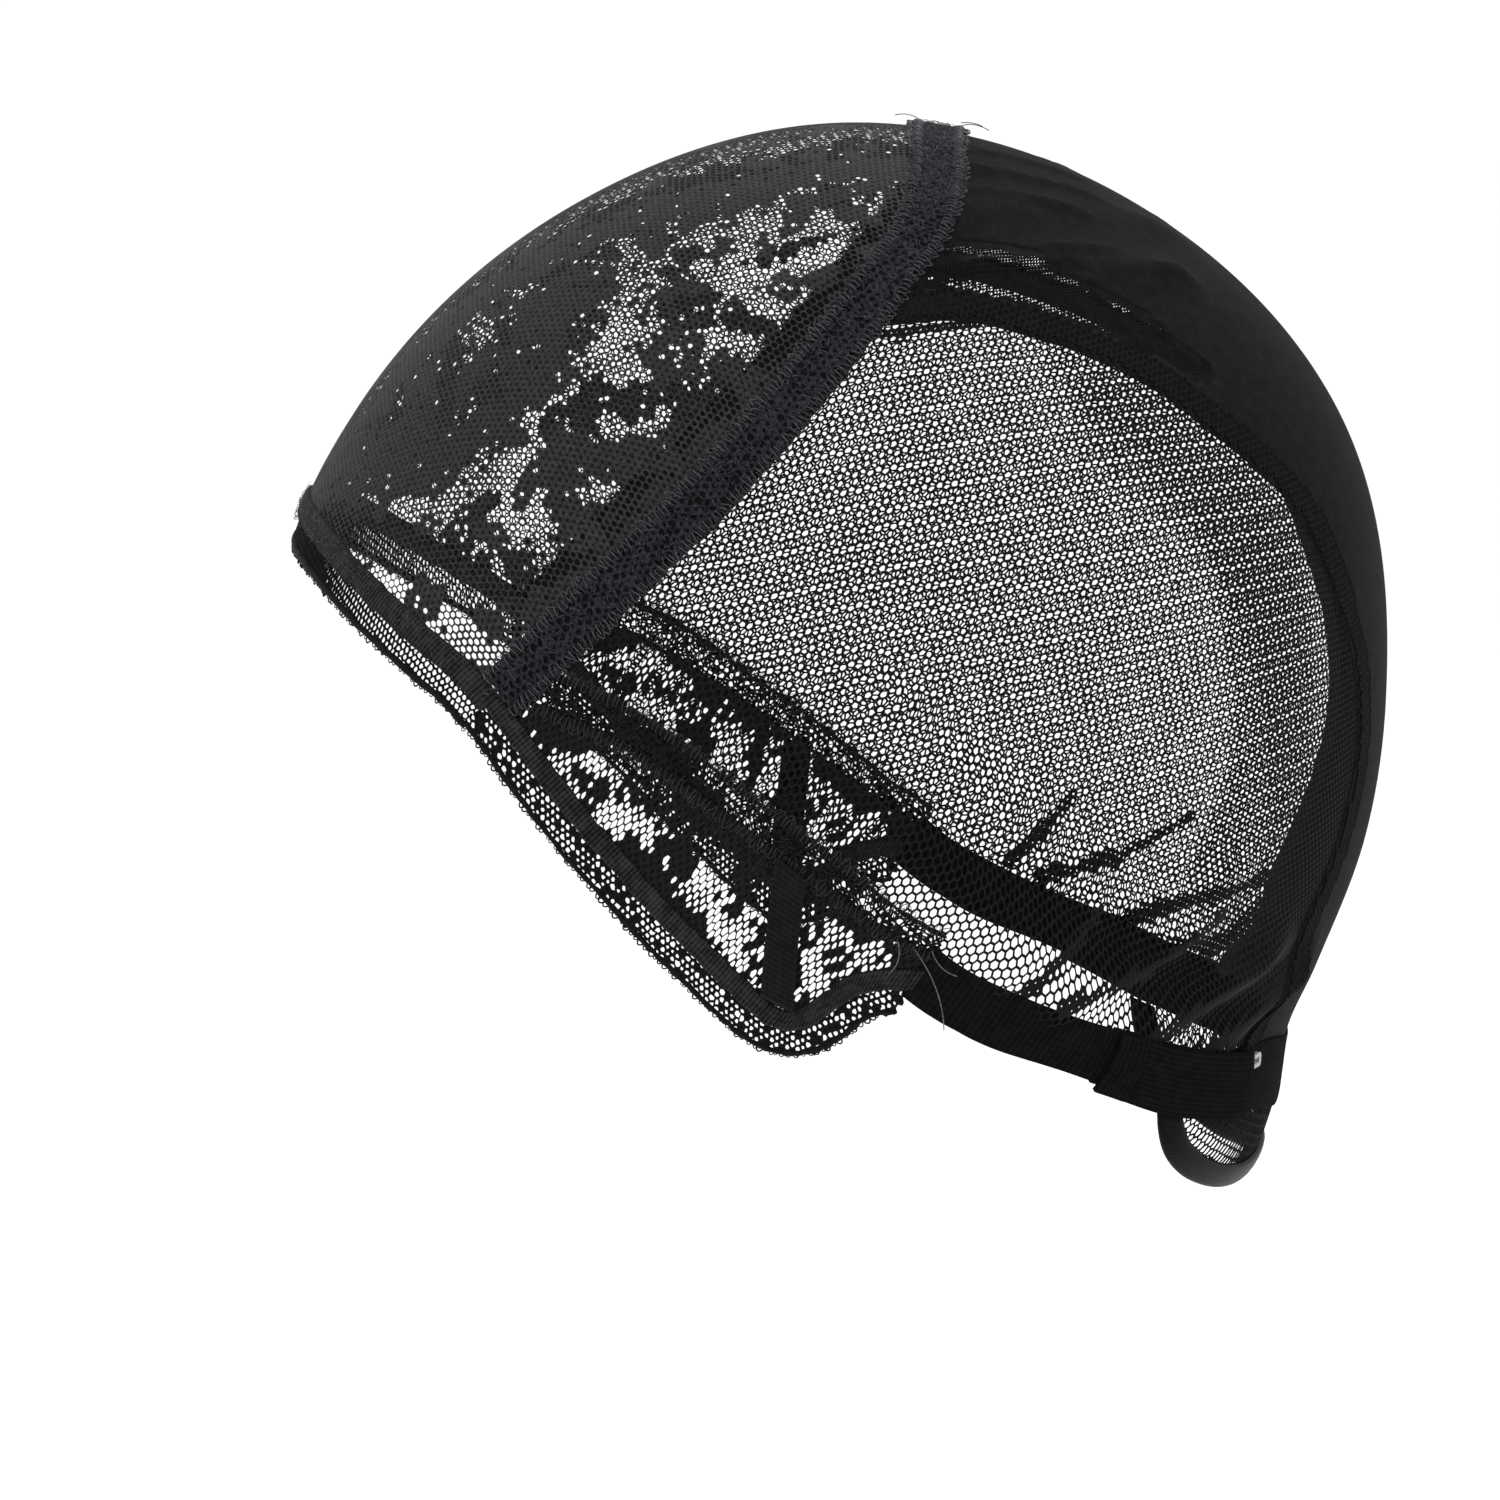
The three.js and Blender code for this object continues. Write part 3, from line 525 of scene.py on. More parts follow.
def buildStitchTree():
    # A loop of thread at every point, standing across the seam
    tree, given = startTree(
        "thread loops",
        [
            ("Places", "NodeSocketGeometry"),
            ("Loop width", "NodeSocketFloat"),
            ("Loop reach", "NodeSocketFloat"),
            ("Loop rise", "NodeSocketFloat"),
            ("Thread radius", "NodeSocketFloat"),
            ("Bow steps", "NodeSocketInt"),
            ("Thread sides", "NodeSocketInt"),
            ("Thread", "NodeSocketMaterial"),
        ],
    )
    half = addNode(tree, "ShaderNodeMath", {0: given.outputs["Loop width"], 1: 0.5}, operation="MULTIPLY")
    back = addNode(tree, "ShaderNodeMath", {0: half.outputs[0], 1: -1}, operation="MULTIPLY")
    first = addNode(tree, "ShaderNodeCombineXYZ", {"X": back.outputs[0]})
    last = addNode(tree, "ShaderNodeCombineXYZ", {"X": half.outputs[0]})
    top = addNode(
        tree, "ShaderNodeCombineXYZ", {"Y": given.outputs["Loop reach"], "Z": given.outputs["Loop rise"]}
    )
    bow = addNode(
        tree, "GeometryNodeCurveQuadraticBezier",
        {
            "Resolution": given.outputs["Bow steps"],
            "Start": first.outputs[0],
            "Middle": top.outputs[0],
            "End": last.outputs[0],
        },
    )
    section = addNode(
        tree, "GeometryNodeCurvePrimitiveCircle",
        {"Resolution": given.outputs["Thread sides"], "Radius": given.outputs["Thread radius"]},
    )
    thread = addNode(
        tree, "GeometryNodeCurveToMesh",
        {"Curve": bow.outputs["Curve"], "Profile Curve": section.outputs["Curve"], "Fill Caps": True},
    )
    facing = addNode(tree, "GeometryNodeInputNamedAttribute", {"Name": "facing"}, data_type="FLOAT_VECTOR")
    along = addNode(tree, "GeometryNodeInputNamedAttribute", {"Name": "along"}, data_type="FLOAT_VECTOR")
    size = addNode(tree, "GeometryNodeInputNamedAttribute", {"Name": "size"}, data_type="FLOAT")
    turned = addNode(
        tree, "FunctionNodeAxesToRotation",
        {"Primary Axis": facing.outputs["Attribute"], "Secondary Axis": along.outputs["Attribute"]},
        primary_axis="Z", secondary_axis="X",
    )
    placed = addNode(
        tree, "GeometryNodeInstanceOnPoints",
        {
            "Points": given.outputs["Places"],
            "Instance": thread.outputs["Mesh"],
            "Rotation": turned.outputs["Rotation"],
            "Scale": size.outputs["Attribute"],
        },
    )
    return endTree(tree, placed.outputs["Instances"], given.outputs["Thread"])


netTree = buildNetTree()
stitchTree = buildStitchTree()


def runTree(piece, tree, values):
    modifier = piece.modifiers.new("made", "NODES")
    modifier.node_group = tree
    for item in tree.interface.items_tree:
        if item.item_type == "SOCKET" and item.in_out == "INPUT" and item.name in values:
            modifier[item.identifier] = values[item.name]
    return freeze(piece)


def freeze(piece):
    # The evaluated result becomes the piece's own plain mesh
    bpy.context.view_layer.update()
    seen = piece.evaluated_get(bpy.context.evaluated_depsgraph_get())
    made = bpy.data.meshes.new_from_object(seen)
    piece.modifiers.clear()
    rough = piece.data
    piece.data = made
    made.name = piece.name
    bpy.data.meshes.remove(rough)
    return piece


def addObject(name, points, faces):
    mesh = bpy.data.meshes.new(name)
    mesh.from_pydata((np.asarray(points) * metre).tolist(), [], faces)
    piece = bpy.data.objects.new(name, mesh)
    bpy.context.scene.collection.objects.link(piece)
    return piece


def register(piece, slotName, *nodes):
    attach(piece, "root")
    if nodes:
        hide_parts(*nodes)
    print(piece.name, len(piece.data.polygons), "faces")
    return piece


# Nets and laces: cells of a sheared hexagonal weave, laid out in a flat chart of the form

def makeChart(turn, side, right):
    centre = direction(float(turn), float(side))
    first = unit(np.array(right, float) - centre * (np.array(right, float) @ centre))
    return {"centre": centre, "first": first, "second": np.cross(centre, first), "radius": 92}


def toChart(chart, d):
    flat = np.stack([d @ chart["first"], d @ chart["second"]], -1)
    angle = np.arccos(np.clip(d @ chart["centre"], -1, 1))
    return flat * (angle * chart["radius"] / np.maximum(np.linalg.norm(flat, axis=-1), 1e-9))[..., None]


def fromChart(chart, flat):
    length = np.maximum(np.linalg.norm(flat, axis=-1), 1e-9)
    angle = length / chart["radius"]
    sideways = (flat[..., :1] * chart["first"] + flat[..., 1:] * chart["second"]) / length[..., None]
    return np.cos(angle)[..., None] * chart["centre"] + np.sin(angle)[..., None] * sideways


def insideLoop(points, loop):
    inside = np.zeros(len(points), bool)
    for (x0, y0), (x1, y1) in zip(loop, np.roll(loop, -1, axis=0)):
        if y0 == y1:
            continue
        crosses = (points[:, 1] < y0) != (points[:, 1] < y1)
        inside ^= crosses & (points[:, 0] < x0 + (points[:, 1] - y0) * (x1 - x0) / (y1 - y0))
    return inside


earChart = makeChart(0, 90, (0, 1, 0))
crownChart = makeChart(120, 0, (1, 0, 0))
napeChart = makeChart(318, 0, (1, 0, 0))


def netPiece(name, loop, chart, weave, openingOf, material, mirror=False, lift=0.4, folded=True, more=None,
             keep=None):
    tilt = math.radians(weave["tilt"])
    row = np.array([math.cos(tilt), math.sin(tilt)])
    up = np.array([-row[1], row[0]])
    a = weave["pitch"] * row
    b = weave["lean"] * weave["pitch"] * row + weave["step"] * up
    flatLoop = toChart(chart, loop)
    span = int(np.abs(flatLoop).max() / min(weave["pitch"], weave["step"]) * 1.8)
    i, j = (v.ravel() for v in np.meshgrid(*[np.arange(-span, span + 1)] * 2, indexing="ij"))
    centres = i[:, None] * a + j[:, None] * b
    near = ((centres >= flatLoop.min(0)) & (centres <= flatLoop.max(0))).all(1)
    i, j, centres = i[near], j[near], centres[near]
    kept = insideLoop(centres, flatLoop)
    middles = formPoint(fromChart(chart, centres))
    if keep is not None:
        kept &= keep(middles)
    i, j, middles = i[kept], j[kept], middles[kept]
    # six corners of a cell: kind 0 lies between a and a + b, kind 1 between a + b and b
    corners = [(0, 0, 0), (0, 0, 1), (-1, 0, 0), (-1, -1, 1), (-1, -1, 0), (0, -1, 1)]
    width = 2 * span + 5
    keys = np.stack([((i + u + span + 2) * width + (j + v + span + 2)) * 2 + k for u, v, k in corners], 1)
    used, cells = np.unique(keys, return_inverse=True)
    cells = cells.reshape(keys.shape)
    kind = used % 2
    cornerI = (used // 2) // width - span - 2
    cornerJ = (used // 2) % width - span - 2
    offset = np.where(kind[:, None] == 0, (2 * a + b) / 3, (a + 2 * b) / 3)
    flat = cornerI[:, None] * a + cornerJ[:, None] * b + offset
    chance = np.random.default_rng(weave.get("seed", 3))
    flat = flat + chance.normal(0, weave["jitter"] * weave["pitch"], flat.shape)
    d = fromChart(chart, flat)
    opening = openingOf(middles, chance)
    points = surfacePoint(d, lift if more is None else lift + more(formPoint(d)), folded)
    if mirror:
        points = mirrored(points)
    ring = points[cells]
    facing = np.cross(ring[:, 2] - ring[:, 0], ring[:, 4] - ring[:, 0])
    if np.sum(facing * (ring[:, 0] - np.array([0, 0, -crownReach]))) < 0:
        cells = cells[:, ::-1]
    piece = addObject(name, points, cells.tolist())
    opens = piece.data.attributes.new("opening", "FLOAT", "FACE")
    opens.data.foreach_set("value", opening.astype(np.float32))
    return runTree(
        piece, netTree,
        {"Strand depth": weave["depth"] * metre, "Least opening": weave["least"], "Yarn": material},
    )


def wobble(points):
    x, y, z = np.moveaxis(points, -1, 0)
    slow = np.sin(y / 2.3 + 1.7 * np.sin(z / 3.1)) * np.cos(z / 2.6 + 1.3 * np.sin(x / 3.7))
    return slow + 0.5 * np.sin(y / 0.9 + x / 1.3) * np.cos(z / 1.1 - x / 1.7)


def paint(points, value, rows, wave=0.0):
    # Each row runs from one place to another: turn, side, toTurn, toSide, half breadth, opening
    edge = wobble(points) * wave
    for row in rows:
        reach = segmentReach(points, row)[3] + edge
        mask = 1 - smoothStep(reach / row[4], 0.7, 1.15)
        value = value * (1 - mask) + row[5] * mask
    return value


def paintFlowers(points, value, rows):
    # Each flower is a ring of petals round a few open cells: turn, side, radius, petals
    for turn, side, radius, petals in rows:
        place = direction(float(turn), float(side))
        middle, normal = formPoint(place), formNormal(place)
        first = unit(np.cross(normal, np.array([0, 0, 1.0])))
        second = np.cross(normal, first)
        alike = points * np.sign(points[..., :1] + 1e-9) ** np.array([1, 0, 0])
        x, y = (alike - middle) @ first / radius, (alike - middle) @ second / radius
        away, angle = np.hypot(x, y), np.arctan2(y, x)
        edge = 0.86 + 0.16 * np.cos(petals * angle)
        solid = (1 - smoothStep(away, edge, edge + 0.16)) * (np.abs((alike - middle) @ normal) < 8)
        ring = smoothStep(away, 0.1, 0.2) * (1 - smoothStep(away, 0.4, 0.55))
        dots = (0.5 + 0.5 * np.cos(6 * angle)) * ring
        value = value * (1 - solid) + solid * dots * 0.8
    return value


def leafMask(points, share, chance, sizes, count):
    # Small pointed leaves at random slants; share is how likely a leaf is to grow at each cell
    mask = np.zeros(len(points), bool)
    chosen = chance.choice(len(points), count, p=share / share.sum())
    for k in chosen:
        way = chance.normal(size=3)
        outward = unit(points[k] - np.array([0, 0, -crownReach]))
        way = unit(way - outward * (way @ outward))
        offset = points - points[k]
        along, aside = offset @ way, offset @ np.cross(outward, way)
        long = chance.uniform(*sizes)
        near = (np.abs(along) < long) & (np.abs(offset @ outward) < 6)
        mask |= near & (np.abs(aside) < 0.5 * long * (1 - (along / long) ** 2))
    return mask


sideNet = {
    "pitch": 1.233, "step": 1.257, "lean": -0.12, "depth": 0.12, "jitter": 0.02,
    "tilt": 9.3, "rightTilt": -20.7,  # each side's grain runs its own way
    "tuck": 1.6, "napeTuck": 2.2, "least": 0.12, "hole": 0.745, "uneven": 0.015,
    "flat": (0.125, 0.13), "area": 0.006,
    # turn, side, toTurn, toSide, half breadth, opening
    "pleats": [
        (48, 46, 20, 40, 11, 0.66), (20, 39, 345, 33, 12, 0.62), (345, 34, 330, 35, 10, 0.6),
        (305, 63, 316.6, 61.7, 1.3, 0.1), (316.6, 61.7, 325.8, 59.2, 0.9, 0.3),
        (309, 60, 321.1, 51.9, 1.5, 0.1), (321.1, 51.9, 334.3, 44.6, 1.1, 0.25),
        (313.5, 50, 323.1, 40.6, 1.9, 0.1),
        (323.1, 40.6, 333.5, 27, 1.6, 0.16), (317, 41, 324.4, 30, 1.6, 0.1), (319, 35, 330, 26, 2.6, 0.16),
        (86, 49, 79, 47.5, 0.9, 0.3), (79, 47.5, 73, 45, 0.9, 0.3),
    ],
}
crownBand = {"width": 8.8, "wall": 1.8}
netEdge = {"width": 5.5, "wall": 1.3}
tabBand = {"front": 7, "rear": 4.6, "wall": 1.7}
tabTape = {"width": 4.8, "outer": 1.1, "wall": 1.5}
frontTape = {"width": 4.2, "wall": 1.7}


def sideNetOpening(points, chance):
    base = sideNet["hole"] + chance.normal(0, sideNet["uneven"], len(points))
    return np.clip(paint(points, base, sideNet["pleats"], 0.35), 0.14, 0.85)


def makeSideNets():
    tuck = sideNet["tuck"]
    crownRear = shifted(crownLine, crownBand["width"] / 2 - tuck)
    tabTop = shifted(tabBandLine, tabBand["front"] / 2 - tuck, tabBand["rear"] / 2 - tuck)
    edge = shifted(netEdgeLine, -(netEdge["width"] / 2 - tuck))
    nape = shifted(napeLine, sideNet["napeTuck"])
    loop = loopOf(
        before(after(crownRear, edge), tabTop),
        before(after(tabTop, crownRear), tabEndLine),
        before(after(nape, edge), tabEndLine)[::-1],
        before(after(edge, crownRear), nape)[::-1],
    )
    for side, isRight in bothSides:
        weave = dict(sideNet, tilt=sideNet["rightTilt" if isRight else "tilt"])
        name = "side_net_strands_" + side
        piece = netPiece(name, loop, earChart, weave, sideNetOpening, netYarn, mirror=isRight)
        register(piece, "net", "side_net_" + side)


laceFront = {
    "pitch": 1.16, "step": 1.28, "lean": -0.45, "tilt": 111, "depth": 0.1, "jitter": 0.035, "seed": 11,
    "flat": (0.2, 0.13), "area": 0.0125, "wave": 1.1, "leaf": (1.6, 4.4), "leaves": 400,
    "least": 0.6, "closed": 0.47, "rim": 0.52, "ground": 0.65, "open": 0.77, "lift": 0.9,
    # turn, side, toTurn, toSide, half breadth, opening
    "motifs": [
        (158, 13, 137, 16, 5, 0), (137, 16, 119, 21, 5, 0), (119, 21, 102, 25, 4.3, 0),
        (102, 25, 85, 22, 3.8, 0.05), (118, 0, 86, 0, 11, 0.82),
        (142, 20, 146, 31, 4, 0), (141, 33, 135, 30, 3.3, 0.4), (132, 22, 126, 29, 2.1, 0.35),
        (122, 32, 114, 31, 3.3, 0.45), (128, 30, 130, 40, 4.5, 0), (154, 21, 147, 36, 6.3, 0),
        (147, 36, 136, 40, 4, 0), (123, 41, 119, 40, 2.5, 0.75), (128, 46, 120, 49, 5.6, 0.75),
        (136, 43, 132, 44, 2.5, 0.68), (142, 45, 138, 48, 2.3, 0.8), (153, 48, 142, 51, 6.3, 0.84),
        (155, 52, 147, 57, 4.3, 0.76), (160, 29, 156, 37, 3.3, 0.8), (161, 38, 157, 46, 5, 0.86),
        (163, 47, 160, 50, 4, 0.8), (139, 49, 143, 56, 3.3, 0.4), (134, 50, 126, 56, 4.3, 0.3),
        (134, 55, 129, 57, 2.3, 0.6), (128, 60, 113, 57, 3.6, 0.25), (144, 60, 131, 60, 3, 0.35),
        (109, 40, 101, 39, 4, 0.76), (101, 39, 92, 39, 4, 0.84), (107, 48, 97, 47, 5.9, 0.84),
        (97, 46, 91, 44, 3.6, 0.8), (88, 37, 85, 34, 2.3, 0.76), (106, 27, 99, 28, 2.3, 0.3),
        (92, 29, 87, 27, 2.3, 0.25), (129, 50, 123, 50, 3.6, 0.75), (115, 52, 110, 53, 3, 0.76),
        (109, 50, 104, 54, 2.6, 0.2), (102, 44, 92, 42, 0.8, 0.15),
    ],
    "flowers": [
        (115, 46.5, 5.4, 5), (163, 44.4, 4, 5), (130, 53.5, 4, 6), (154, 58.8, 3.3, 5),
        (131, 35, 6, 5), (123, 29, 4.5, 5), (146, 2, 6.5, 6), (129, 3, 6, 5), (104, 1, 5, 6), (92, 6, 3.5, 5),
    ],
}


def laceOpening(points, chance):
    value = paint(points, np.full(len(points), 0.55), laceFront["motifs"], laceFront["wave"])
    steps = [value < 0.16, value < 0.42, value < 0.6]
    choices = [laceFront["closed"], laceFront["rim"], laceFront["ground"]]
    opening = np.select(steps, choices, laceFront["open"])
    share = np.where(value < 0.42, 1.0, np.where(value < 0.6, 0.5, 0.05))
    leaves = leafMask(points, share, chance, laceFront["leaf"], laceFront["leaves"])
    opening = paintFlowers(points, np.where(leaves, laceFront["closed"], opening), laceFront["flowers"])
    opening = np.clip(opening, laceFront["closed"], 0.86) + chance.normal(0, 0.04, len(points))
    pinholes = (chance.random(len(points)) < 0.07) * chance.uniform(0.6, 0.7, len(points))
    return np.maximum(opening, pinholes)


def makeLaceFront():
    tuck = sideNet["tuck"]
    inner = shifted(edgeLine, frontTape["width"] / 2 - tuck)
    crownFront = shifted(crownLine, -(crownBand["width"] / 2 - tuck))
    loop = loopOf(across(before(inner, crownFront)), across(before(crownFront, inner))[::-1])
    piece = netPiece(
        "lace_front_cells", loop, crownChart, laceFront, laceOpening, laceYarn, lift=laceFront["lift"]
    )
    register(piece, "lace", "lace_front_panel")


makeSideNets()
makeLaceFront()


# Tapes, bands and straps: closed ribbons with rounded edges between two lines

def ribbon(name, first, last, wall, material, lift=0.0, step=1.3, sides=14, square=4.0, folded=True,
           ragged=0.0, seed=5, mirror=False, bend=None):
    length = np.linalg.norm(np.diff(formPoint(first), axis=0), axis=1).sum()
    count = max(4, int(length / step))
    a, b = stations(first, count), stations(last, count)
    angle = (np.arange(sides) + 0.5) * 2 * np.pi / sides
    cosine, sine = np.cos(angle), np.sin(angle)
    side = 0.5 - 0.5 * np.sign(cosine) * np.abs(cosine) ** (2 / square)
    rise = 0.5 + 0.5 * np.sign(sine) * np.abs(sine) ** (2 / square)
    chance = np.random.default_rng(seed)
    width = np.linalg.norm(formPoint(a) - formPoint(b), axis=1).mean()
    loose = chance.normal(0, ragged / width, (count + 1, 2))
    share = side[None, :] + (loose[:, :1] * (1 - side) + loose[:, 1:] * side)
    d = unit(a[:, None] * (1 - share[..., None]) + b[:, None] * share[..., None])
    height = np.full(count + 1, float(lift)) if bend is None else bend(np.linspace(0, 1, count + 1))
    points = surfacePoint(d, height[:, None] + rise[None, :] * wall, folded)
    if mirror:
        points = mirrored(points)
    at = lambda i, k: i * sides + k % sides
    faces = [
        (at(i, k), at(i, k + 1), at(i + 1, k + 1), at(i + 1, k)) for i in range(count) for k in range(sides)
    ]
    faces += [tuple(at(0, k) for k in range(sides))[::-1], tuple(at(count, k) for k in range(sides))]
    piece = addObject(name, points.reshape(-1, 3), faces)
    layUv(piece, points, length / count, sides)
    return dress(piece, material)


def layUv(piece, points, step, sides):
    # Millimetres along the ribbon and round its section
    ring = np.linalg.norm(points[0] - np.roll(points[0], -1, axis=0), axis=1)
    around = np.concatenate([[0], np.cumsum(ring)])
    layer = piece.data.uv_layers.new(name="cloth")
    values = np.zeros((len(piece.data.loops), 2), np.float32)
    for face in piece.data.polygons:
        ks = [piece.data.loops[l].vertex_index % sides for l in face.loop_indices]
        wraps = len(ks) == 4 and max(ks) - min(ks) > 1
        for l, k in zip(face.loop_indices, ks):
            i = piece.data.loops[l].vertex_index // sides
            values[l] = (i * step, around[sides if wraps and k == 0 else k])
    layer.data.foreach_set("uv", values.ravel())


def turnOutward(piece):
    # A closed mesh whose volume comes out negative faces inwards
    mesh = piece.data
    volume = 0.0
    for face in mesh.polygons:
        volume += face.center.dot(face.normal) * face.area
    if volume < 0:
        mesh.flip_normals()


def dress(piece, material):
    turnOutward(piece)
    piece.data.materials.append(material)
    piece.data.polygons.foreach_set("use_smooth", [True] * len(piece.data.polygons))
    return piece


def between(a, b, along, columns):
    first, second = stations(a, along)[:, None], stations(b, along)[:, None]
    share = np.linspace(0, 1, columns + 1)[None, :, None]
    return unit(first * (1 - share) + second * share)


def inside(n, f, s, e):
    # A grid of directions inside four borders: n and f run along it, s and e from n to f
    u = np.linspace(0, 1, len(n))[:, None, None]
    v = np.linspace(0, 1, len(s))[None, :, None]
    d = n[:, None] * (1 - v) + f[:, None] * v + s[None] * (1 - u) + e[None] * u
    d = d - (n[0] * (1 - u) * (1 - v) + n[-1] * u * (1 - v) + f[0] * (1 - u) * v + f[-1] * u * v)
    return unit(d)


def wallPiece(name, inner, outer, material, mirror=False, kept=None):
    # A closed wall between two grids of points, with its UV map in millimetres from the middle column
    rows, columns = inner.shape[:2]
    layer = rows * columns
    points = np.concatenate([inner.reshape(-1, 3), outer.reshape(-1, 3)])
    at = lambda k, i, j: k * layer + i * columns + j
    cells = [(i, j) for i in range(rows - 1) for j in range(columns - 1)]
    if kept is not None:
        cells = [(i, j) for i, j in cells if kept[i, j]]
    held = set(cells)
    faces = []
    for i, j in cells:
        faces.append((at(1, i, j), at(1, i + 1, j), at(1, i + 1, j + 1), at(1, i, j + 1)))
        faces.append((at(0, i, j), at(0, i, j + 1), at(0, i + 1, j + 1), at(0, i + 1, j)))
        if (i - 1, j) not in held:
            faces.append((at(0, i, j + 1), at(0, i, j), at(1, i, j), at(1, i, j + 1)))
        if (i + 1, j) not in held:
            faces.append((at(0, i + 1, j), at(0, i + 1, j + 1), at(1, i + 1, j + 1), at(1, i + 1, j)))
        if (i, j - 1) not in held:
            faces.append((at(0, i, j), at(0, i + 1, j), at(1, i + 1, j), at(1, i, j)))
        if (i, j + 1) not in held:
            faces.append((at(0, i + 1, j + 1), at(0, i, j + 1), at(1, i, j + 1), at(1, i + 1, j + 1)))
    if mirror:
        points = mirrored(points)
    piece = addObject(name, points, faces)
    middle = columns // 2
    acrossStep = np.linalg.norm(np.diff(outer, axis=1), axis=2)
    acrossSum = np.concatenate([np.zeros((rows, 1)), np.cumsum(acrossStep, 1)], 1)
    u = acrossSum - acrossSum[:, middle : middle + 1]
    alongStep = np.linalg.norm(np.diff(outer[:, middle], axis=0), axis=1)
    v = np.repeat(np.concatenate([[0], np.cumsum(alongStep)])[:, None], columns, 1)
    flat = np.tile(np.stack([u, v], -1).reshape(-1, 2), (2, 1))
    where = np.zeros(len(piece.data.loops), np.int32)
    piece.data.loops.foreach_get("vertex_index", where)
    piece.data.uv_layers.new(name="cloth").data.foreach_set("uv", flat[where].astype(np.float32).ravel())
    return dress(piece, material)


# The knit back and the doubled edges of the net

backKnit = {
    "wall": 0.7, "along": 130, "across": 100, "height": 1.4, "end": 5,
    # turn, side, toTurn, toSide, share of height, breadth
    "ridges": [
        (75, 39, 53, 22, 1, 1.5), (67, 31, 61, 26, 0.7, 1.2), (80, 43, 64, 33, -0.8, 1.6),
        (78, 19, 64, 14, 0.8, 1.3), (78, 25, 65, 21, 0.7, 1.2), (78, 12, 66, 7, 0.5, 1.5),
    ],
    # turn, side, toTurn, toSide, half breadth, opening
    "sheer": [
        (80, 39, 68, 37.8, 5.4, 0.57), (68, 37.8, 54, 36, 4, 0.54), (54, 36, 46, 34.8, 2.2, 0.46),
    ],
    "pitch": 0.63, "step": 0.63, "lean": 0.3, "tilt": 16, "depth": 0.16, "jitter": 0.04, "lift": 0.7,
    "least": 0.3, "napeTuck": 1.2, "sheerHem": 1.6, "sheerOver": 3.4,
    "flat": (0.13, 0.15), "area": 0.0158,
}


def knitLift(points):
    return ridgeLift(points, backKnit["ridges"], backKnit["height"], backKnit["end"])


def makeBackPanel():
    cut = netEdge["width"] / 2 + seamGap - sideNet["tuck"]
    inner = shifted(netEdgeLine, cut)
    crownRear = shifted(crownLine, crownBand["width"] / 2 + seamGap - sideNet["tuck"])
    nape = shifted(napeLine, backKnit["napeTuck"])
    top = stations(across(before(crownRear, inner)), backKnit["across"])
    bottom = stations(across(before(nape, inner)), backKnit["across"])
    left = stations(before(after(inner, crownRear), nape), backKnit["along"])
    grid = inside(top, bottom, left, mirrored(left)).swapaxes(0, 1)
    flat = formPoint(grid)
    lift = np.maximum(knitLift(flat), 0.05 - foldLift(flat))
    away = sheerReach(flat)
    solid = np.maximum.reduce([away[1:, 1:], away[:-1, :-1], away[1:, :-1], away[:-1, 1:]])
    solid = solid > backKnit["sheerHem"]
    piece = wallPiece(
        "back_knit", surfacePoint(grid, lift), surfacePoint(grid, lift + backKnit["wall"]), knitCloth,
        kept=solid,
    )
    register(piece, "knit", "back_panel")
    print("back knit drawn, sheer cells", int((~solid).sum()))


def sheerOpening(points, chance):
    value = paint(points, np.zeros(len(points)), backKnit["sheer"], 0.8)
    return np.clip(value + chance.normal(0, 0.05, len(points)), 0.1, 0.7)


def sheerReach(points):
    return np.min([segmentReach(points, row)[3] - row[4] for row in backKnit["sheer"]], axis=0)


def makeSheerKnit():
    inner = shifted(netEdgeLine, netEdge["width"] / 2 - 1)
    crownRear = shifted(crownLine, crownBand["width"] / 2 - 1)
    nape = shifted(napeLine, -seamGap)
    loop = loopOf(
        before(crownRear, inner),
        before(after(inner, crownRear), nape),
        before(nape, inner)[::-1],
        direction(np.linspace(-37, 81, 60), np.zeros(60)),
    )
    for side, isRight in bothSides:
        piece = netPiece(
            "back_knit_sheer_" + side, loop, earChart, backKnit, sheerOpening, knitCloth, mirror=isRight,
            lift=backKnit["lift"], more=knitLift,
            keep=lambda points: sheerReach(points) < backKnit["sheerOver"],
        )
        register(piece, "knit", "back_panel")


edgeNet = {
    "pitch": 1.2, "step": 1.2, "lean": -0.3, "tilt": 20, "depth": 0.35, "jitter": 0.05, "wall": 0.8,
    "least": 1, "hole": 0.6, "seed": 21, "tuck": 1, "inset": 0.4,
}


def evenOpening(value, spread):
    return lambda points, chance: np.clip(value + chance.normal(0, spread, len(points)), 0.12, 0.85)


def makeNetEdges():
    crownRear = shifted(crownLine, crownBand["width"] / 2 - edgeNet["tuck"])
    nape = shifted(napeLine, edgeNet["tuck"])
    half, inset = netEdge["width"] / 2, edgeNet["inset"]
    edge = lambda distance: before(after(shifted(netEdgeLine, distance), crownRear), nape)
    for side, isRight in bothSides:
        base = ribbon(
            "net_edge_fold_" + side, edge(half), edge(-half), edgeNet["wall"], netYarn, mirror=isRight,
            ragged=0.1,
        )
        register(base, "net", "net_edge_strip_" + side)
        loop = loopOf(edge(half - inset), edge(inset - half)[::-1])
        top = netPiece(
            "net_edge_cells_" + side, loop, earChart, edgeNet, evenOpening(edgeNet["hole"], 0.05), netYarn,
            mirror=isRight, lift=edgeNet["wall"] + edgeNet["depth"],
        )
        register(top, "net", "net_edge_strip_" + side)


makeBackPanel()
makeSheerKnit()
makeNetEdges()


# The tape and hem along the front

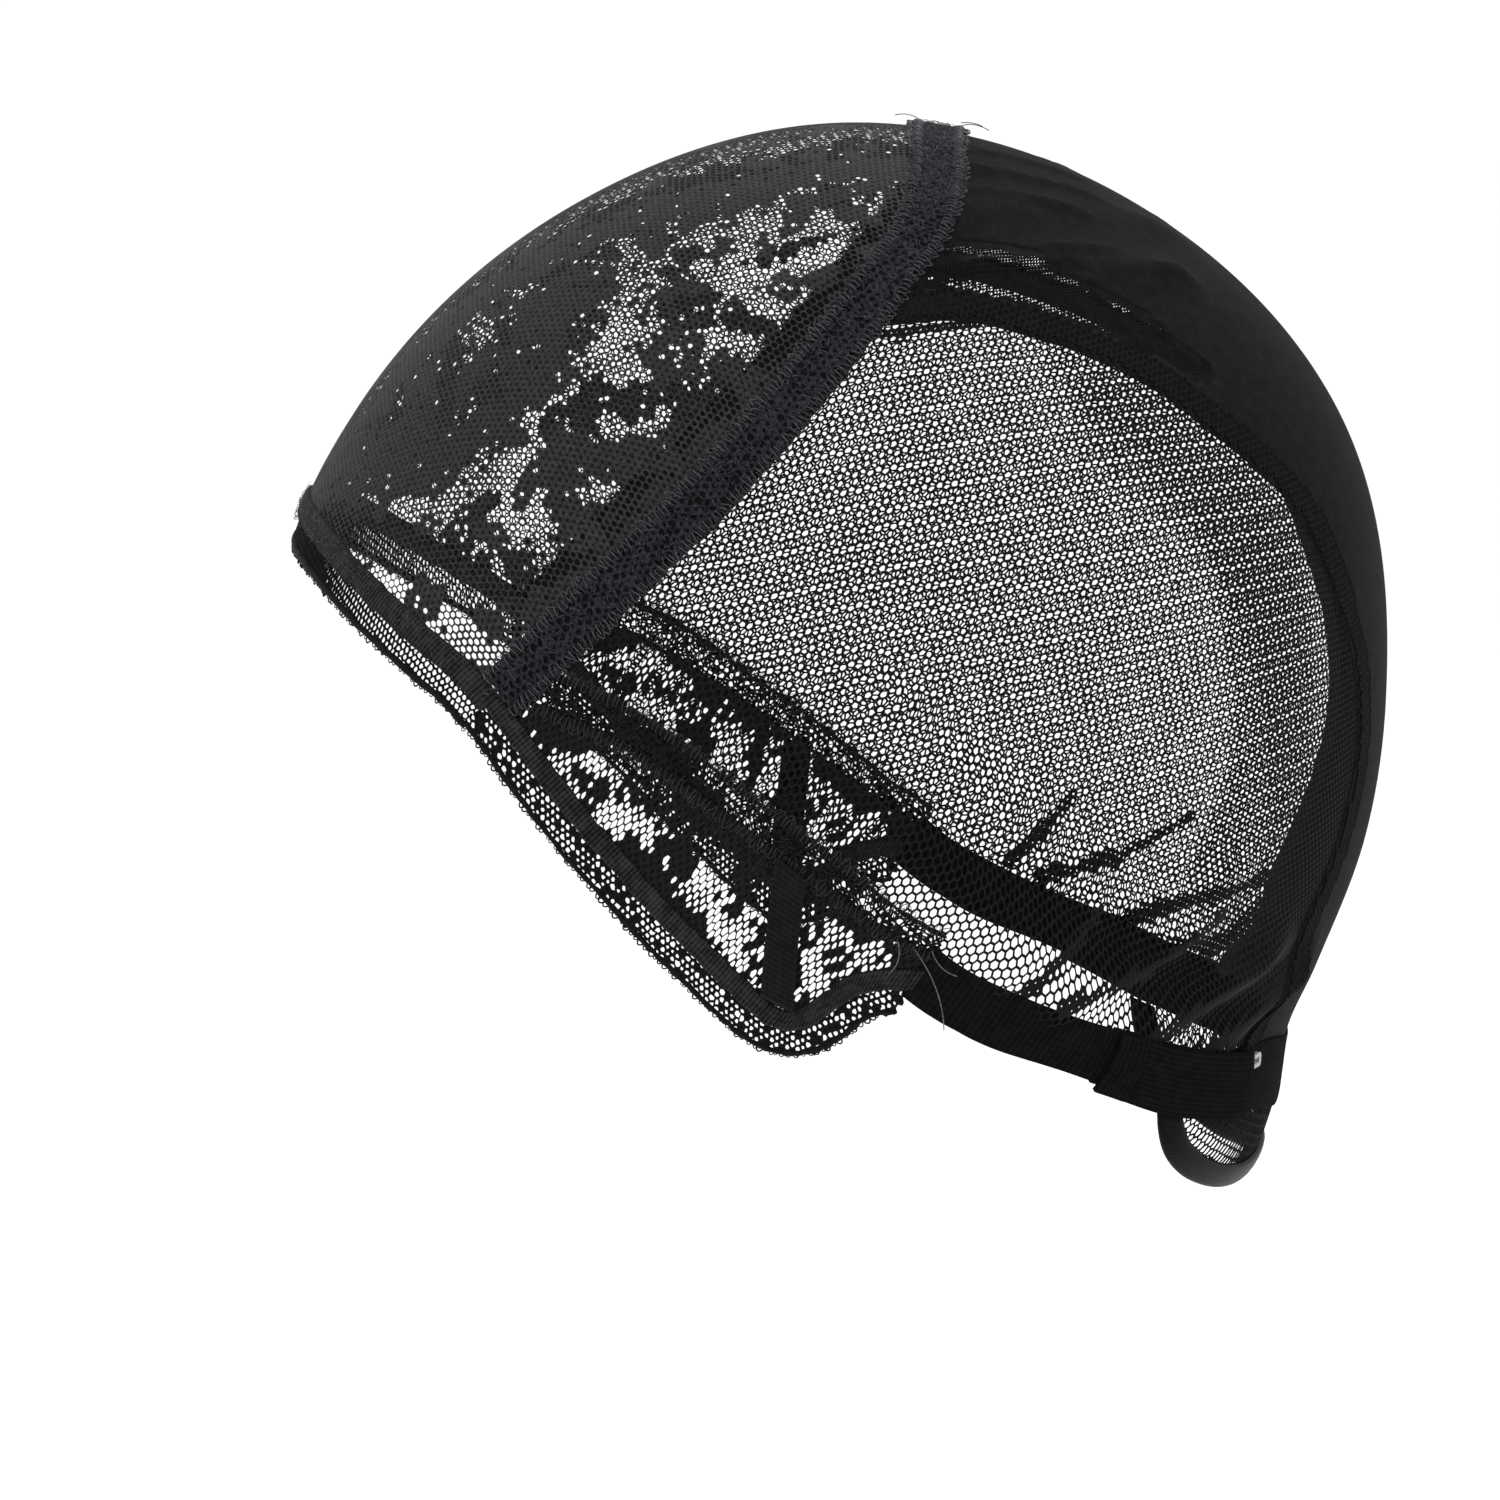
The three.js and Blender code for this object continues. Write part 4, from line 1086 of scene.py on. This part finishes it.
frontHem = {
    "width": 4.6, "pitch": 1.08, "step": 1.22, "lean": -0.1, "tilt": 0, "depth": 0.4, "jitter": 0.07,
    "least": 0.3, "hole": 0.66, "spread": 0.06, "lift": 0.75, "fold": 1.2, "foldWall": 1,
}
# The pitted face of the crown band, over a black ribbon that shows through its holes
bandFace = {
    "pitch": 1.45, "step": 1.3, "lean": -0.4, "tilt": 8, "depth": 0.45, "jitter": 0.13, "seed": 17,
    "least": 0.36, "hole": 0.52, "spread": 0.16, "inset": 0.3, "under": 0.6,
}


def makeFrontEdge():
    join = shifted(crownLine, -seamGap / 2)
    cut = lambda distance: across(before(shifted(edgeLine, distance), join))
    half = frontTape["width"] / 2
    tape = ribbon("front_tape", cut(half), cut(-half), frontTape["wall"], tapeCloth, ragged=0.08)
    register(tape, "tape", "front_binding_tape")
    outer = -half - seamGap - frontHem["width"]
    loop = loopOf(cut(-half + 1), cut(outer + 0.5)[::-1])
    net = netPiece(
        "front_hem_cells", loop, crownChart, frontHem, evenOpening(frontHem["hole"], frontHem["spread"]),
        netYarn, lift=frontHem["lift"],
    )
    register(net, "net", "front_hem_net")
    fold = ribbon(
        "front_hem_fold", cut(outer + frontHem["fold"]), cut(outer), frontHem["foldWall"], netYarn, step=0.9,
        ragged=0.1, square=2.4,
    )
    register(fold, "net", "front_hem_net")


def makeCrownBand():
    foot = shifted(edgeLine, max(frontTape["width"], tabTape["width"]) / 2 + seamGap)
    edge = lambda distance: across(before(shifted(crownLine, distance), foot))
    half = crownBand["width"] / 2
    under = crownBand["wall"] - bandFace["under"]
    band = ribbon("crown_band_cloth", edge(-half), edge(half), under, netYarn, ragged=0.22, sides=20)
    register(band, "crown_band", "crown_band")
    loop = loopOf(edge(bandFace["inset"] - half), edge(half - bandFace["inset"])[::-1])
    face = netPiece(
        "crown_band_pits", loop, crownChart, bandFace, evenOpening(bandFace["hole"], bandFace["spread"]),
        bandCloth, lift=crownBand["wall"],
    )
    register(face, "crown_band")


# The ear tabs

tabLace = {
    "pitch": 1.21, "step": 1.12, "lean": 0.316, "tilt": 18.8, "depth": 0.25, "jitter": 0.07, "seed": 8,
    "least": 0.56, "lift": 0.8,
    # turn, side, toTurn, toSide, half breadth, opening
    "motifs": [
        (184, 66, 187, 70, 2.4, 0.76), (198, 66, 202, 68, 3, 0.8), (220, 71, 241, 72, 3.8, 0.8),
        (233, 69, 245, 67, 3, 0.8), (175, 61, 178, 66, 3.4, 0.3), (260, 76, 279, 73, 2, 0.3),
        (258, 72, 262, 67, 1.8, 0.76), (216, 66, 229, 66, 2.6, 0.4), (199, 74, 229, 77, 2.6, 0.45),
        (187, 73, 202, 75.5, 2.2, 0.3), (206, 66.5, 214, 66, 1.6, 0.3), (230, 74, 236, 70, 1, 0.3),
        (281, 67, 296, 71.5, 2.6, 0.3), (268, 67, 279, 66.5, 1.4, 0.35),
    ],
    "flowers": [(213, 69.5, 4, 6)],
    "flat": (0.085, 0.028), "area": 0.00118, "wave": 0.8, "leaf": (0.9, 2.4), "leaves": 95,
}
tabBandNet = {
    "pitch": 1.15, "step": 1.1, "lean": -0.3, "depth": 0.3, "jitter": 0.1,
    "least": 0.36, "hole": 0.7, "spread": 0.13, "fold": 0.7, "reach": 0.9,
    "layers": (("under", 0.7, 23), ("over", 1.5, 29)),  # name, lift, and seed, which is its slant too
}
tabStay = {"width": 5.4, "wall": 1.2, "seat": 1.4}
tabHem = {
    "front": 4.4, "rear": 3, "pitch": 1.0, "step": 1.05, "lean": -0.3, "tilt": 30, "depth": 0.35,
    "jitter": 0.1, "least": 0.36, "hole": 0.47, "spread": 0.13, "lift": 0.8, "fold": 0.9, "foldWall": 0.9,
}


def tabLaceOpening(points, chance):
    value = paint(points, np.full(len(points), 0.62), tabLace["motifs"], tabLace["wave"])
    share = np.where(value < 0.5, 1.0, np.where(value < 0.7, 0.7, 0.12))
    value[leafMask(points, share, chance, tabLace["leaf"], tabLace["leaves"])] = 0.3
    value = paintFlowers(points, value, tabLace["flowers"])
    return np.clip(value + chance.normal(0, 0.09, len(points)), 0.45, 0.84)


def makeTabTrims():
    joinRear, endFront = shifted(crownLine, -0.4), shifted(tabEndLine, 0.9)
    cut = lambda start, end=None: before(after(shifted(edgeLine, start, end), joinRear), endFront)
    half = tabTape["width"] / 2
    crownRear = shifted(crownLine, crownBand["width"] / 2 - 2.5)
    lower = lambda tuck: shifted(
        tabBandLine, -tabBand["front"] / 2 - seamGap + tuck, -tabBand["rear"] / 2 - seamGap + tuck
    )
    inner = shifted(edgeLine, half + seamGap)
    stayEdge = lambda distance: before(after(shifted(tabStayLine, distance), lower(0)), inner)
    bandLine = lambda sign: shifted(tabBandLine, sign * tabBand["front"] / 2, sign * tabBand["rear"] / 2)
    bandEdge = lambda sign: before(after(bandLine(sign), crownRear), endFront)
    outer = (-half - seamGap - tabHem["front"], -half - seamGap - tabHem["rear"])
    laceLoop = loopOf(
        before(after(lower(1.4), crownRear), endFront),
        before(after(shifted(edgeLine, half - 1.2), crownRear), endFront)[::-1],
    )
    hemLoop = loopOf(cut(0.6 - tabTape["outer"]), cut(outer[0] + 0.5, outer[1] + 0.5)[::-1])
    for side, isRight in bothSides:
        tape = ribbon(
            "tab_tape_" + side, cut(half), cut(-tabTape["outer"]), tabTape["wall"], tapeCloth, ragged=0.14,
            mirror=isRight,
        )
        register(tape, "tape", "ear_tab_binding_" + side)
        stay = ribbon(
            "tab_stay_tape_" + side, stayEdge(tabStay["width"] / 2), stayEdge(-tabStay["width"] / 2),
            tabStay["wall"], stayCloth, lift=tabStay["seat"], step=0.9, mirror=isRight,
        )
        register(stay, "tape", "ear_tab_stay_" + side)
        for name, sign in (("upper", 1), ("lower", -1)):
            fold = ribbon(
                "tab_band_fold_" + name + "_" + side, bandEdge(sign), bandEdge(sign * tabBandNet["fold"]),
                tabBand["wall"] - 0.3, netYarn, ragged=0.2, mirror=isRight, folded=False, square=2.6,
            )
            register(fold, "lace", "ear_tab_band_" + side)
        loop = loopOf(bandEdge(tabBandNet["reach"]), bandEdge(-tabBandNet["reach"])[::-1])
        for name, lift, seed in tabBandNet["layers"]:
            cells = netPiece(
                "tab_band_" + name + "_" + side, loop, earChart, dict(tabBandNet, seed=seed, tilt=seed),
                evenOpening(tabBandNet["hole"], tabBandNet["spread"]), netYarn, mirror=isRight, lift=lift,
                folded=False,
            )
            register(cells, "lace", "ear_tab_band_" + side)
        lace = netPiece(
            "tab_lace_cells_" + side, laceLoop, earChart, tabLace, tabLaceOpening, blackLaceYarn,
            mirror=isRight, lift=tabLace["lift"],
        )
        register(lace, "lace", "ear_tab_lace_" + side)
        hem = netPiece(
            "tab_hem_cells_" + side, hemLoop, earChart, tabHem, evenOpening(tabHem["hole"], tabHem["spread"]),
            netYarn, mirror=isRight, lift=tabHem["lift"],
        )
        register(hem, "net", "ear_tab_hem_" + side)
        fold = ribbon(
            "tab_hem_fold_" + side, cut(outer[0] + tabHem["fold"], outer[1] + tabHem["fold"]), cut(*outer),
            tabHem["foldWall"], netYarn, step=0.9, ragged=0.14, square=2.4, mirror=isRight,
        )
        register(fold, "net", "ear_tab_hem_" + side)


# The elastic at the nape

strap = {"width": 10.2, "wall": 1.2, "inSleeve": 22, "step": 1}
sleeve = {
    "width": 11.2, "wall": 0.9, "fromMiddle": 44, "length": 32, "hem": 4.6, "hemWall": 0.45,
    "rows": 26, "columns": 8,
}
napeTape = {"wall": 1.2}


def surfaceLengths(line):
    return np.concatenate([[0], np.cumsum(np.linalg.norm(np.diff(formPoint(line), axis=0), axis=1))])


def makeElastic():
    lengths = surfaceLengths(napeLine)
    indexAt = lambda length: int(np.argmax(lengths >= length))
    rear, mouth = indexAt(sleeve["fromMiddle"]), indexAt(sleeve["fromMiddle"] + sleeve["length"])
    strapRear = indexAt(sleeve["fromMiddle"] + sleeve["length"] - strap["inSleeve"])
    tapeEnd = indexAt(sleeve["fromMiddle"] - seamGap)
    upper, sleeveLow = shifted(napeLine, seamGap / 2), shifted(napeLine, seamGap / 2 + sleeve["width"])
    strapLow, tabEndRear = shifted(napeLine, seamGap / 2 + strap["width"]), shifted(tabEndLine, seamGap / 2)
    rows = sleeve["rows"]
    grid = between(upper[rear : mouth + 1], sleeveLow[rear : mouth + 1], rows, sleeve["columns"])
    roof = 2 * sleeve["wall"] + strap["wall"] + 2 * seamGap
    row = lambda i, rise: surfacePoint(grid[i], rise, False)
    order = list(range(rows, -1, -1))
    under = [row(i, 0) for i in order] + [row(i, roof) for i in order[::-1]]
    over = [row(max(i, 1), sleeve["wall"]) for i in order]
    over += [row(max(i, 1), roof - sleeve["wall"]) for i in order[::-1]]
    inSleeve = sleeve["wall"] + seamGap
    strapLength = lengths[-1] - lengths[strapRear]

    def strapRise(share):
        outside = share * strapLength - strap["inSleeve"]
        return inSleeve * (1 - smoothStep(outside, strap["width"] / 4, 2 * strap["width"]))

    strapEdge = lambda line: before(line[strapRear:], tabEndRear)
    hemEnd = indexAt(sleeve["fromMiddle"] + sleeve["length"] - sleeve["hem"])
    for side, isRight in bothSides:
        casing = wallPiece(
            "sleeve_cloth_" + side, np.stack(under), np.stack(over), elasticCloth, mirror=isRight
        )
        register(casing, "elastic", "strap_casing_" + side)
        hem = ribbon(
            "sleeve_hem_" + side, upper[hemEnd : mouth + 1], sleeveLow[hemEnd : mouth + 1], sleeve["hemWall"],
            elasticCloth, lift=roof, step=0.5, mirror=isRight, folded=False,
        )
        register(hem, "elastic", "strap_casing_" + side)
        band = ribbon(
            "nape_strap_elastic_" + side, strapEdge(upper), strapEdge(strapLow), strap["wall"], elasticCloth,
            step=strap["step"], bend=strapRise, folded=False, mirror=isRight, sides=24, square=8,
        )
        register(band, "elastic", "nape_strap_" + side)
    tape = ribbon(
        "nape_tape_elastic", across(upper[: tapeEnd + 1]), across(sleeveLow[: tapeEnd + 1]), napeTape["wall"],
        elasticCloth, folded=False, sides=24, square=8,
    )
    register(tape, "elastic", "nape_tape")


napeNet = {
    "pitch": 1.5, "step": 1.35, "lean": -0.2, "tilt": 0, "depth": 0.25, "jitter": 0.06,
    "least": 0.3, "hole": 0.78, "spread": 0.04, "lift": 0.6, "tuck": 1,
    "flat": (0.1, 0.016), "area": 0.0007,
}
napeBinding = {"width": 4.8, "wall": 1.7}


def makeNapeTab():
    half = napeBinding["width"] / 2
    foot = shifted(napeLine, seamGap / 2 + sleeve["width"] + seamGap)
    edge = lambda distance: across(before(shifted(napeBindingLine, distance), foot))
    binding = ribbon(
        "nape_tab_satin_binding", edge(-half), edge(half), napeBinding["wall"], satinBinding, square=2.6,
        sides=20, folded=False,
    )
    register(binding, "binding", "nape_tab_binding")
    inner = shifted(napeBindingLine, napeNet["tuck"] - half)
    top = shifted(napeLine, seamGap + sleeve["width"] - napeNet["tuck"])
    loop = loopOf(across(before(top, inner)), across(before(inner, top))[::-1])
    net = netPiece(
        "nape_tab_cells", loop, napeChart, napeNet, evenOpening(napeNet["hole"], napeNet["spread"]), netYarn,
        lift=napeNet["lift"], folded=False,
    )
    register(net, "net", "nape_tab_net")
    for name in ("strap_hook_left", "strap_hook_right"):
        hook = frame["nodes"][name]
        for k in range(len(hook.material_slots)):
            hook.material_slots[k].material = clearPlastic


makeFrontEdge()
makeCrownBand()
makeTabTrims()
makeElastic()
makeNapeTab()
print("tapes and straps made")


# Stitches, fuzz and loose ends

overlock = {
    "spacing": 0.85, "width": 1.7, "rise": 0.8, "radius": 0.09,
    "loopWidth": 1.2, "loopReach": 3.2, "loopRise": 0.8, "loopRadius": 0.075,
    "inset": 0.9, "loopSink": 0.4,
}
fuzz = {
    "count": 1500, "onFront": 375, "onTab": 250, "width": 1.2, "reach": 0.3, "rise": 0.9, "radius": 0.045,
}
hemLoops = {"spacing": 1.15, "width": 1.1, "reach": 1.3, "rise": 0.2, "radius": 0.13}


def loopSizes(width, reach, rise, radius, thread):
    sizes = {"Loop width": width, "Loop reach": reach, "Loop rise": rise, "Thread radius": radius}
    return {**{key: value * metre for key, value in sizes.items()}, "Thread": thread}


def threadPiece(name, points, facing, along, size, values, mirror=False, steps=4, sides=4):
    if mirror:
        points, facing, along = mirrored(points), mirrored(facing), mirrored(along)
    piece = addObject(name, points, [])
    for key, rows in (("facing", facing), ("along", along)):
        layer = piece.data.attributes.new(key, "FLOAT_VECTOR", "POINT")
        layer.data.foreach_set("vector", np.asarray(rows, np.float32).ravel())
    layer = piece.data.attributes.new("size", "FLOAT", "POINT")
    layer.data.foreach_set("value", np.asarray(size, np.float32))
    return runTree(piece, stitchTree, {**values, "Bow steps": steps, "Thread sides": sides})


def seamFrame(line, spacing, lift, folded=True, spread=0.0, seed=1):
    # Points along a seam, each with the outward and the running direction
    count = int(np.linalg.norm(np.diff(formPoint(line), axis=0), axis=1).sum() / spacing)
    d = stations(line, count)
    points = surfacePoint(d, lift, folded)
    facing, along = formNormal(d), unit(np.gradient(points, axis=0))
    chance = np.random.default_rng(seed)
    points = points + along * chance.normal(0, spread, (len(points), 1)) * spacing
    return points, facing, along, chance


def stitchSeam(name, line, outward, lift, mirror=False, folded=True, seed=1, thread=stitchThread):
    # Ladder stitches over a cloth's edge, and curly loops that reach past it; outward is 1 to the left
    points, facing, along, chance = seamFrame(line, overlock["spacing"], lift, folded, 0.12, seed)
    across = np.cross(facing, along)
    leaning = unit(across + along * chance.normal(0, 0.18, (len(points), 1)))
    ladder = threadPiece(
        name + "_ladder", points, facing, leaning, chance.uniform(0.8, 1.15, len(points)),
        loopSizes(overlock["width"], 0, overlock["rise"], overlock["radius"], thread), mirror,
    )
    reach = overlock["loopReach"] * outward * (-1 if mirror else 1)
    running = unit(along + across * chance.normal(0, 0.25, (len(points), 1)))
    curly = threadPiece(
        name + "_loops", points - facing * overlock["loopSink"], facing, running,
        chance.uniform(0.6, 1.2, len(points)),
        loopSizes(overlock["loopWidth"], reach, overlock["loopRise"], overlock["loopRadius"], thread),
        mirror, steps=5,
    )
    return ladder, curly


def fuzzOver(name, first, last, lift, count, mirror=False, seed=2, folded=True, thread=stitchThread):
    # Short curled fibres that stand out of a brushed cloth between two lines
    chance = np.random.default_rng(seed)
    a, b = stations(first, 400), stations(last, 400)
    pick, share = chance.integers(0, 401, count), chance.random((count, 1))
    d = unit(a[pick] * (1 - share) + b[pick] * share)
    d = unit(d + chance.normal(0, 0.004, d.shape))
    facing = formNormal(d)
    points = surfacePoint(d, lift, folded)
    along = chance.normal(size=(count, 3))
    along = unit(along - facing * np.sum(along * facing, 1, keepdims=True))
    return threadPiece(
        name, points, unit(facing + 0.5 * along), along, chance.uniform(0.5, 1.3, count),
        loopSizes(fuzz["width"], fuzz["reach"], fuzz["rise"], fuzz["radius"], thread),
        mirror, steps=3, sides=3,
    )


def makeStitches():
    foot = shifted(edgeLine, max(frontTape["width"], tabTape["width"]) / 2 + seamGap)
    edge = lambda distance: across(before(shifted(crownLine, distance), foot))
    half, inset = crownBand["width"] / 2, overlock["inset"]
    for name, distance, outward in (("front", inset - half, 1), ("rear", half - inset, -1)):
        pieces = stitchSeam("crown_band_" + name, edge(distance), outward, crownBand["wall"] - 0.1, seed=31)
        for piece in pieces:
            register(piece, "crown_band")
    hairs = fuzzOver(
        "crown_band_fuzz", edge(-half + 0.4), edge(half - 0.4), crownBand["wall"] - 0.1, fuzz["count"]
    )
    register(hairs, "crown_band")
    frontCut = lambda distance: across(before(shifted(edgeLine, distance), shifted(crownLine, -seamGap / 2)))
    half = frontTape["width"] / 2
    hairs = fuzzOver(
        "front_tape_fuzz", frontCut(half), frontCut(-half), frontTape["wall"] - 0.1, fuzz["onFront"], seed=6
    )
    register(hairs, "tape")
    crownRear = shifted(crownLine, crownBand["width"] / 2 + seamGap)
    endFront = shifted(tabEndLine, -seamGap / 2)
    bandLine = lambda sign, inset: shifted(
        tabBandLine, sign * (tabBand["front"] / 2 - inset), sign * (tabBand["rear"] / 2 - inset)
    )
    bandEdge = lambda sign, inset: before(after(bandLine(sign, inset), crownRear), endFront)
    half = tabTape["width"] / 2
    joinRear = shifted(crownLine, seamGap / 2)
    cut = lambda start, end=None: before(after(shifted(edgeLine, start, end), joinRear), endFront)
    hemEdge = cut(-half - seamGap - tabHem["front"] + 0.2, -half - seamGap - tabHem["rear"] + 0.2)
    for side, isRight in bothSides:
        for name, sign in (("upper", 1), ("lower", -1)):
            pieces = stitchSeam(
                "tab_band_" + name + "_" + side, bandEdge(sign, 0.2), sign, tabBand["wall"] - 0.25, isRight,
                folded=False, seed=33, thread=darkThread,
            )
            for piece in pieces:
                register(piece, "lace")
        hairs = fuzzOver(
            "tab_band_fuzz_" + side, bandEdge(1, 0.3), bandEdge(-1, 0.3), tabBand["wall"] - 0.1,
            fuzz["onTab"], isRight, 4, False, darkThread,
        )
        register(hairs, "lace")
        register(loopEdge("tab_hem_loops_" + side, hemEdge, isRight), "net")
    join = shifted(crownLine, -seamGap / 2)
    outer = -frontTape["width"] / 2 - seamGap - frontHem["width"] + 0.2
    register(loopEdge("front_hem_loops", across(before(shifted(edgeLine, outer), join)), False, 1), "net")


def looseEnd(name, start, end, bow, rise, slotName):
    # A thread end that was left long, from one place on the cap to another
    a, b = (surfacePoint(direction(*place[:2]), place[2], False) for place in (start, end))
    facing, along = formNormal(direction(*start[:2])), unit(b - a)
    piece = threadPiece(
        name, np.array([(a + b) / 2]), np.array([facing]), np.array([along]), [1.0],
        loopSizes(float(np.linalg.norm(b - a)), bow, rise, looseEnds["radius"], looseThread),
        steps=12, sides=6,
    )
    register(piece, slotName)


looseEnds = {
    "radius": 0.09,
    # the place where each thread starts and ends: turn, side and height; then its bow and rise
    "tab": [
        ((287.6, 71.2, 1.4), (288.4, 63, 2.6), 2.4, 1.6), ((284, 72, 1.4), (280, 69, 2.8), 1.6, 1),
        ((292, 70.5, 1.2), (295, 67.6, 2.2), -1.4, 1),
    ],
    "crown": [
        ((79, 2.5, 1.6), (76.4, 1.4, 3.4), 1, 1), ((79, 0.6, 1.6), (77.2, -0.6, 4), -0.8, 0.6),
        ((83.5, 1.6, 1.8), (85.6, 1.2, 3.2), 0.8, 0.8),
    ],
}


def makeLooseEnds():
    for place, slotName in (("tab", "lace"), ("crown", "crown_band")):
        for k, (start, end, bow, rise) in enumerate(looseEnds[place]):
            looseEnd("loose_thread_" + place + "_" + str(k + 1), start, end, bow, rise, slotName)


def loopEdge(name, line, mirror, outward=-1):
    # Knotted loops where a net was cut along its edge
    points, facing, along, chance = seamFrame(line, hemLoops["spacing"], 0.5, False, 0.2, 9)
    reach = hemLoops["reach"] * outward * (-1 if mirror else 1)
    return threadPiece(
        name, points, facing, along, chance.uniform(0.6, 1.2, len(points)),
        loopSizes(hemLoops["width"], reach, hemLoops["rise"], hemLoops["radius"], netYarn), mirror, steps=5,
    )


makeStitches()
makeLooseEnds()
print("stitches made")


# Camera, light and floor

view = {"azimuth": 90, "elevation": 7, "distance": 1.2, "lens": 167.4, "aim": (0, -0.0172, -0.0103)}
stage = {"floorHeight": -0.42, "floorReach": 9, "paper": "#fcfcfb", "roughness": 0.95, "sky": 1.05}
# name, place and size in metres, watts
lights = [
    ("key", (0.7, 0.5, 1.1), 0.7, 9), ("fill", (1.0, -0.8, 0.2), 0.8, 3), ("rim", (-0.6, 0.3, 1.0), 0.6, 5),
]


def addCamera():
    azimuth, elevation = math.radians(view["azimuth"]), math.radians(view["elevation"])
    out = math.cos(elevation)
    away = Vector((math.sin(azimuth) * out, -math.cos(azimuth) * out, math.sin(elevation)))
    middle = Vector((0, 0, -crownReach * metre))
    lens = bpy.data.cameras.new("camera")
    camera = bpy.data.objects.new("camera", lens)
    bpy.context.scene.collection.objects.link(camera)
    lens.sensor_width = 36
    lens.lens = view["lens"]
    camera.location = middle + away * view["distance"]
    aim = middle + Vector(view["aim"])  # the cap stands a little right of and above the centre
    camera.rotation_mode = "QUATERNION"
    camera.rotation_quaternion = (aim - camera.location).to_track_quat("-Z", "Y")
    bpy.context.scene.camera = camera


def addLight(name, place, size, power, aim=(0, 0, -0.09)):
    light = bpy.data.lights.new(name, "AREA")
    light.size = size
    light.energy = power
    lamp = bpy.data.objects.new(name, light)
    lamp.location = place
    lamp.rotation_mode = "QUATERNION"
    lamp.rotation_quaternion = (Vector(aim) - Vector(place)).to_track_quat("-Z", "Y")
    bpy.context.scene.collection.objects.link(lamp)


def addStage():
    reach, height = stage["floorReach"], stage["floorHeight"]
    corners = [(x * reach, y * reach, height) for x, y in ((-1, -1), (1, -1), (1, 1), (-1, 1))]
    mesh = bpy.data.meshes.new("floor")
    mesh.from_pydata(corners, [], [(0, 1, 2, 3)])
    floor = bpy.data.objects.new("floor", mesh)
    bpy.context.scene.collection.objects.link(floor)
    material, tree, shader = startMaterial("matt_white_paper")
    shader.inputs["Base Color"].default_value = linearColour(stage["paper"])
    shader.inputs["Roughness"].default_value = stage["roughness"]
    mesh.materials.append(material)
    floor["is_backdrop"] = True
    world = bpy.data.worlds.new("studio")
    world.use_nodes = True
    world.node_tree.nodes["Background"].inputs["Color"].default_value = (1, 1, 1, 1)
    world.node_tree.nodes["Background"].inputs["Strength"].default_value = stage["sky"]
    bpy.context.scene.world = world
    bpy.context.scene.view_settings.view_transform = "Standard"


addCamera()
addStage()
for name, place, size, power in lights:
    addLight(name, place, size, power)
print("camera, light and floor made")

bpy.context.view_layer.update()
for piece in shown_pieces():
    if piece.type == "MESH":
        piece.data.calc_loop_triangles()
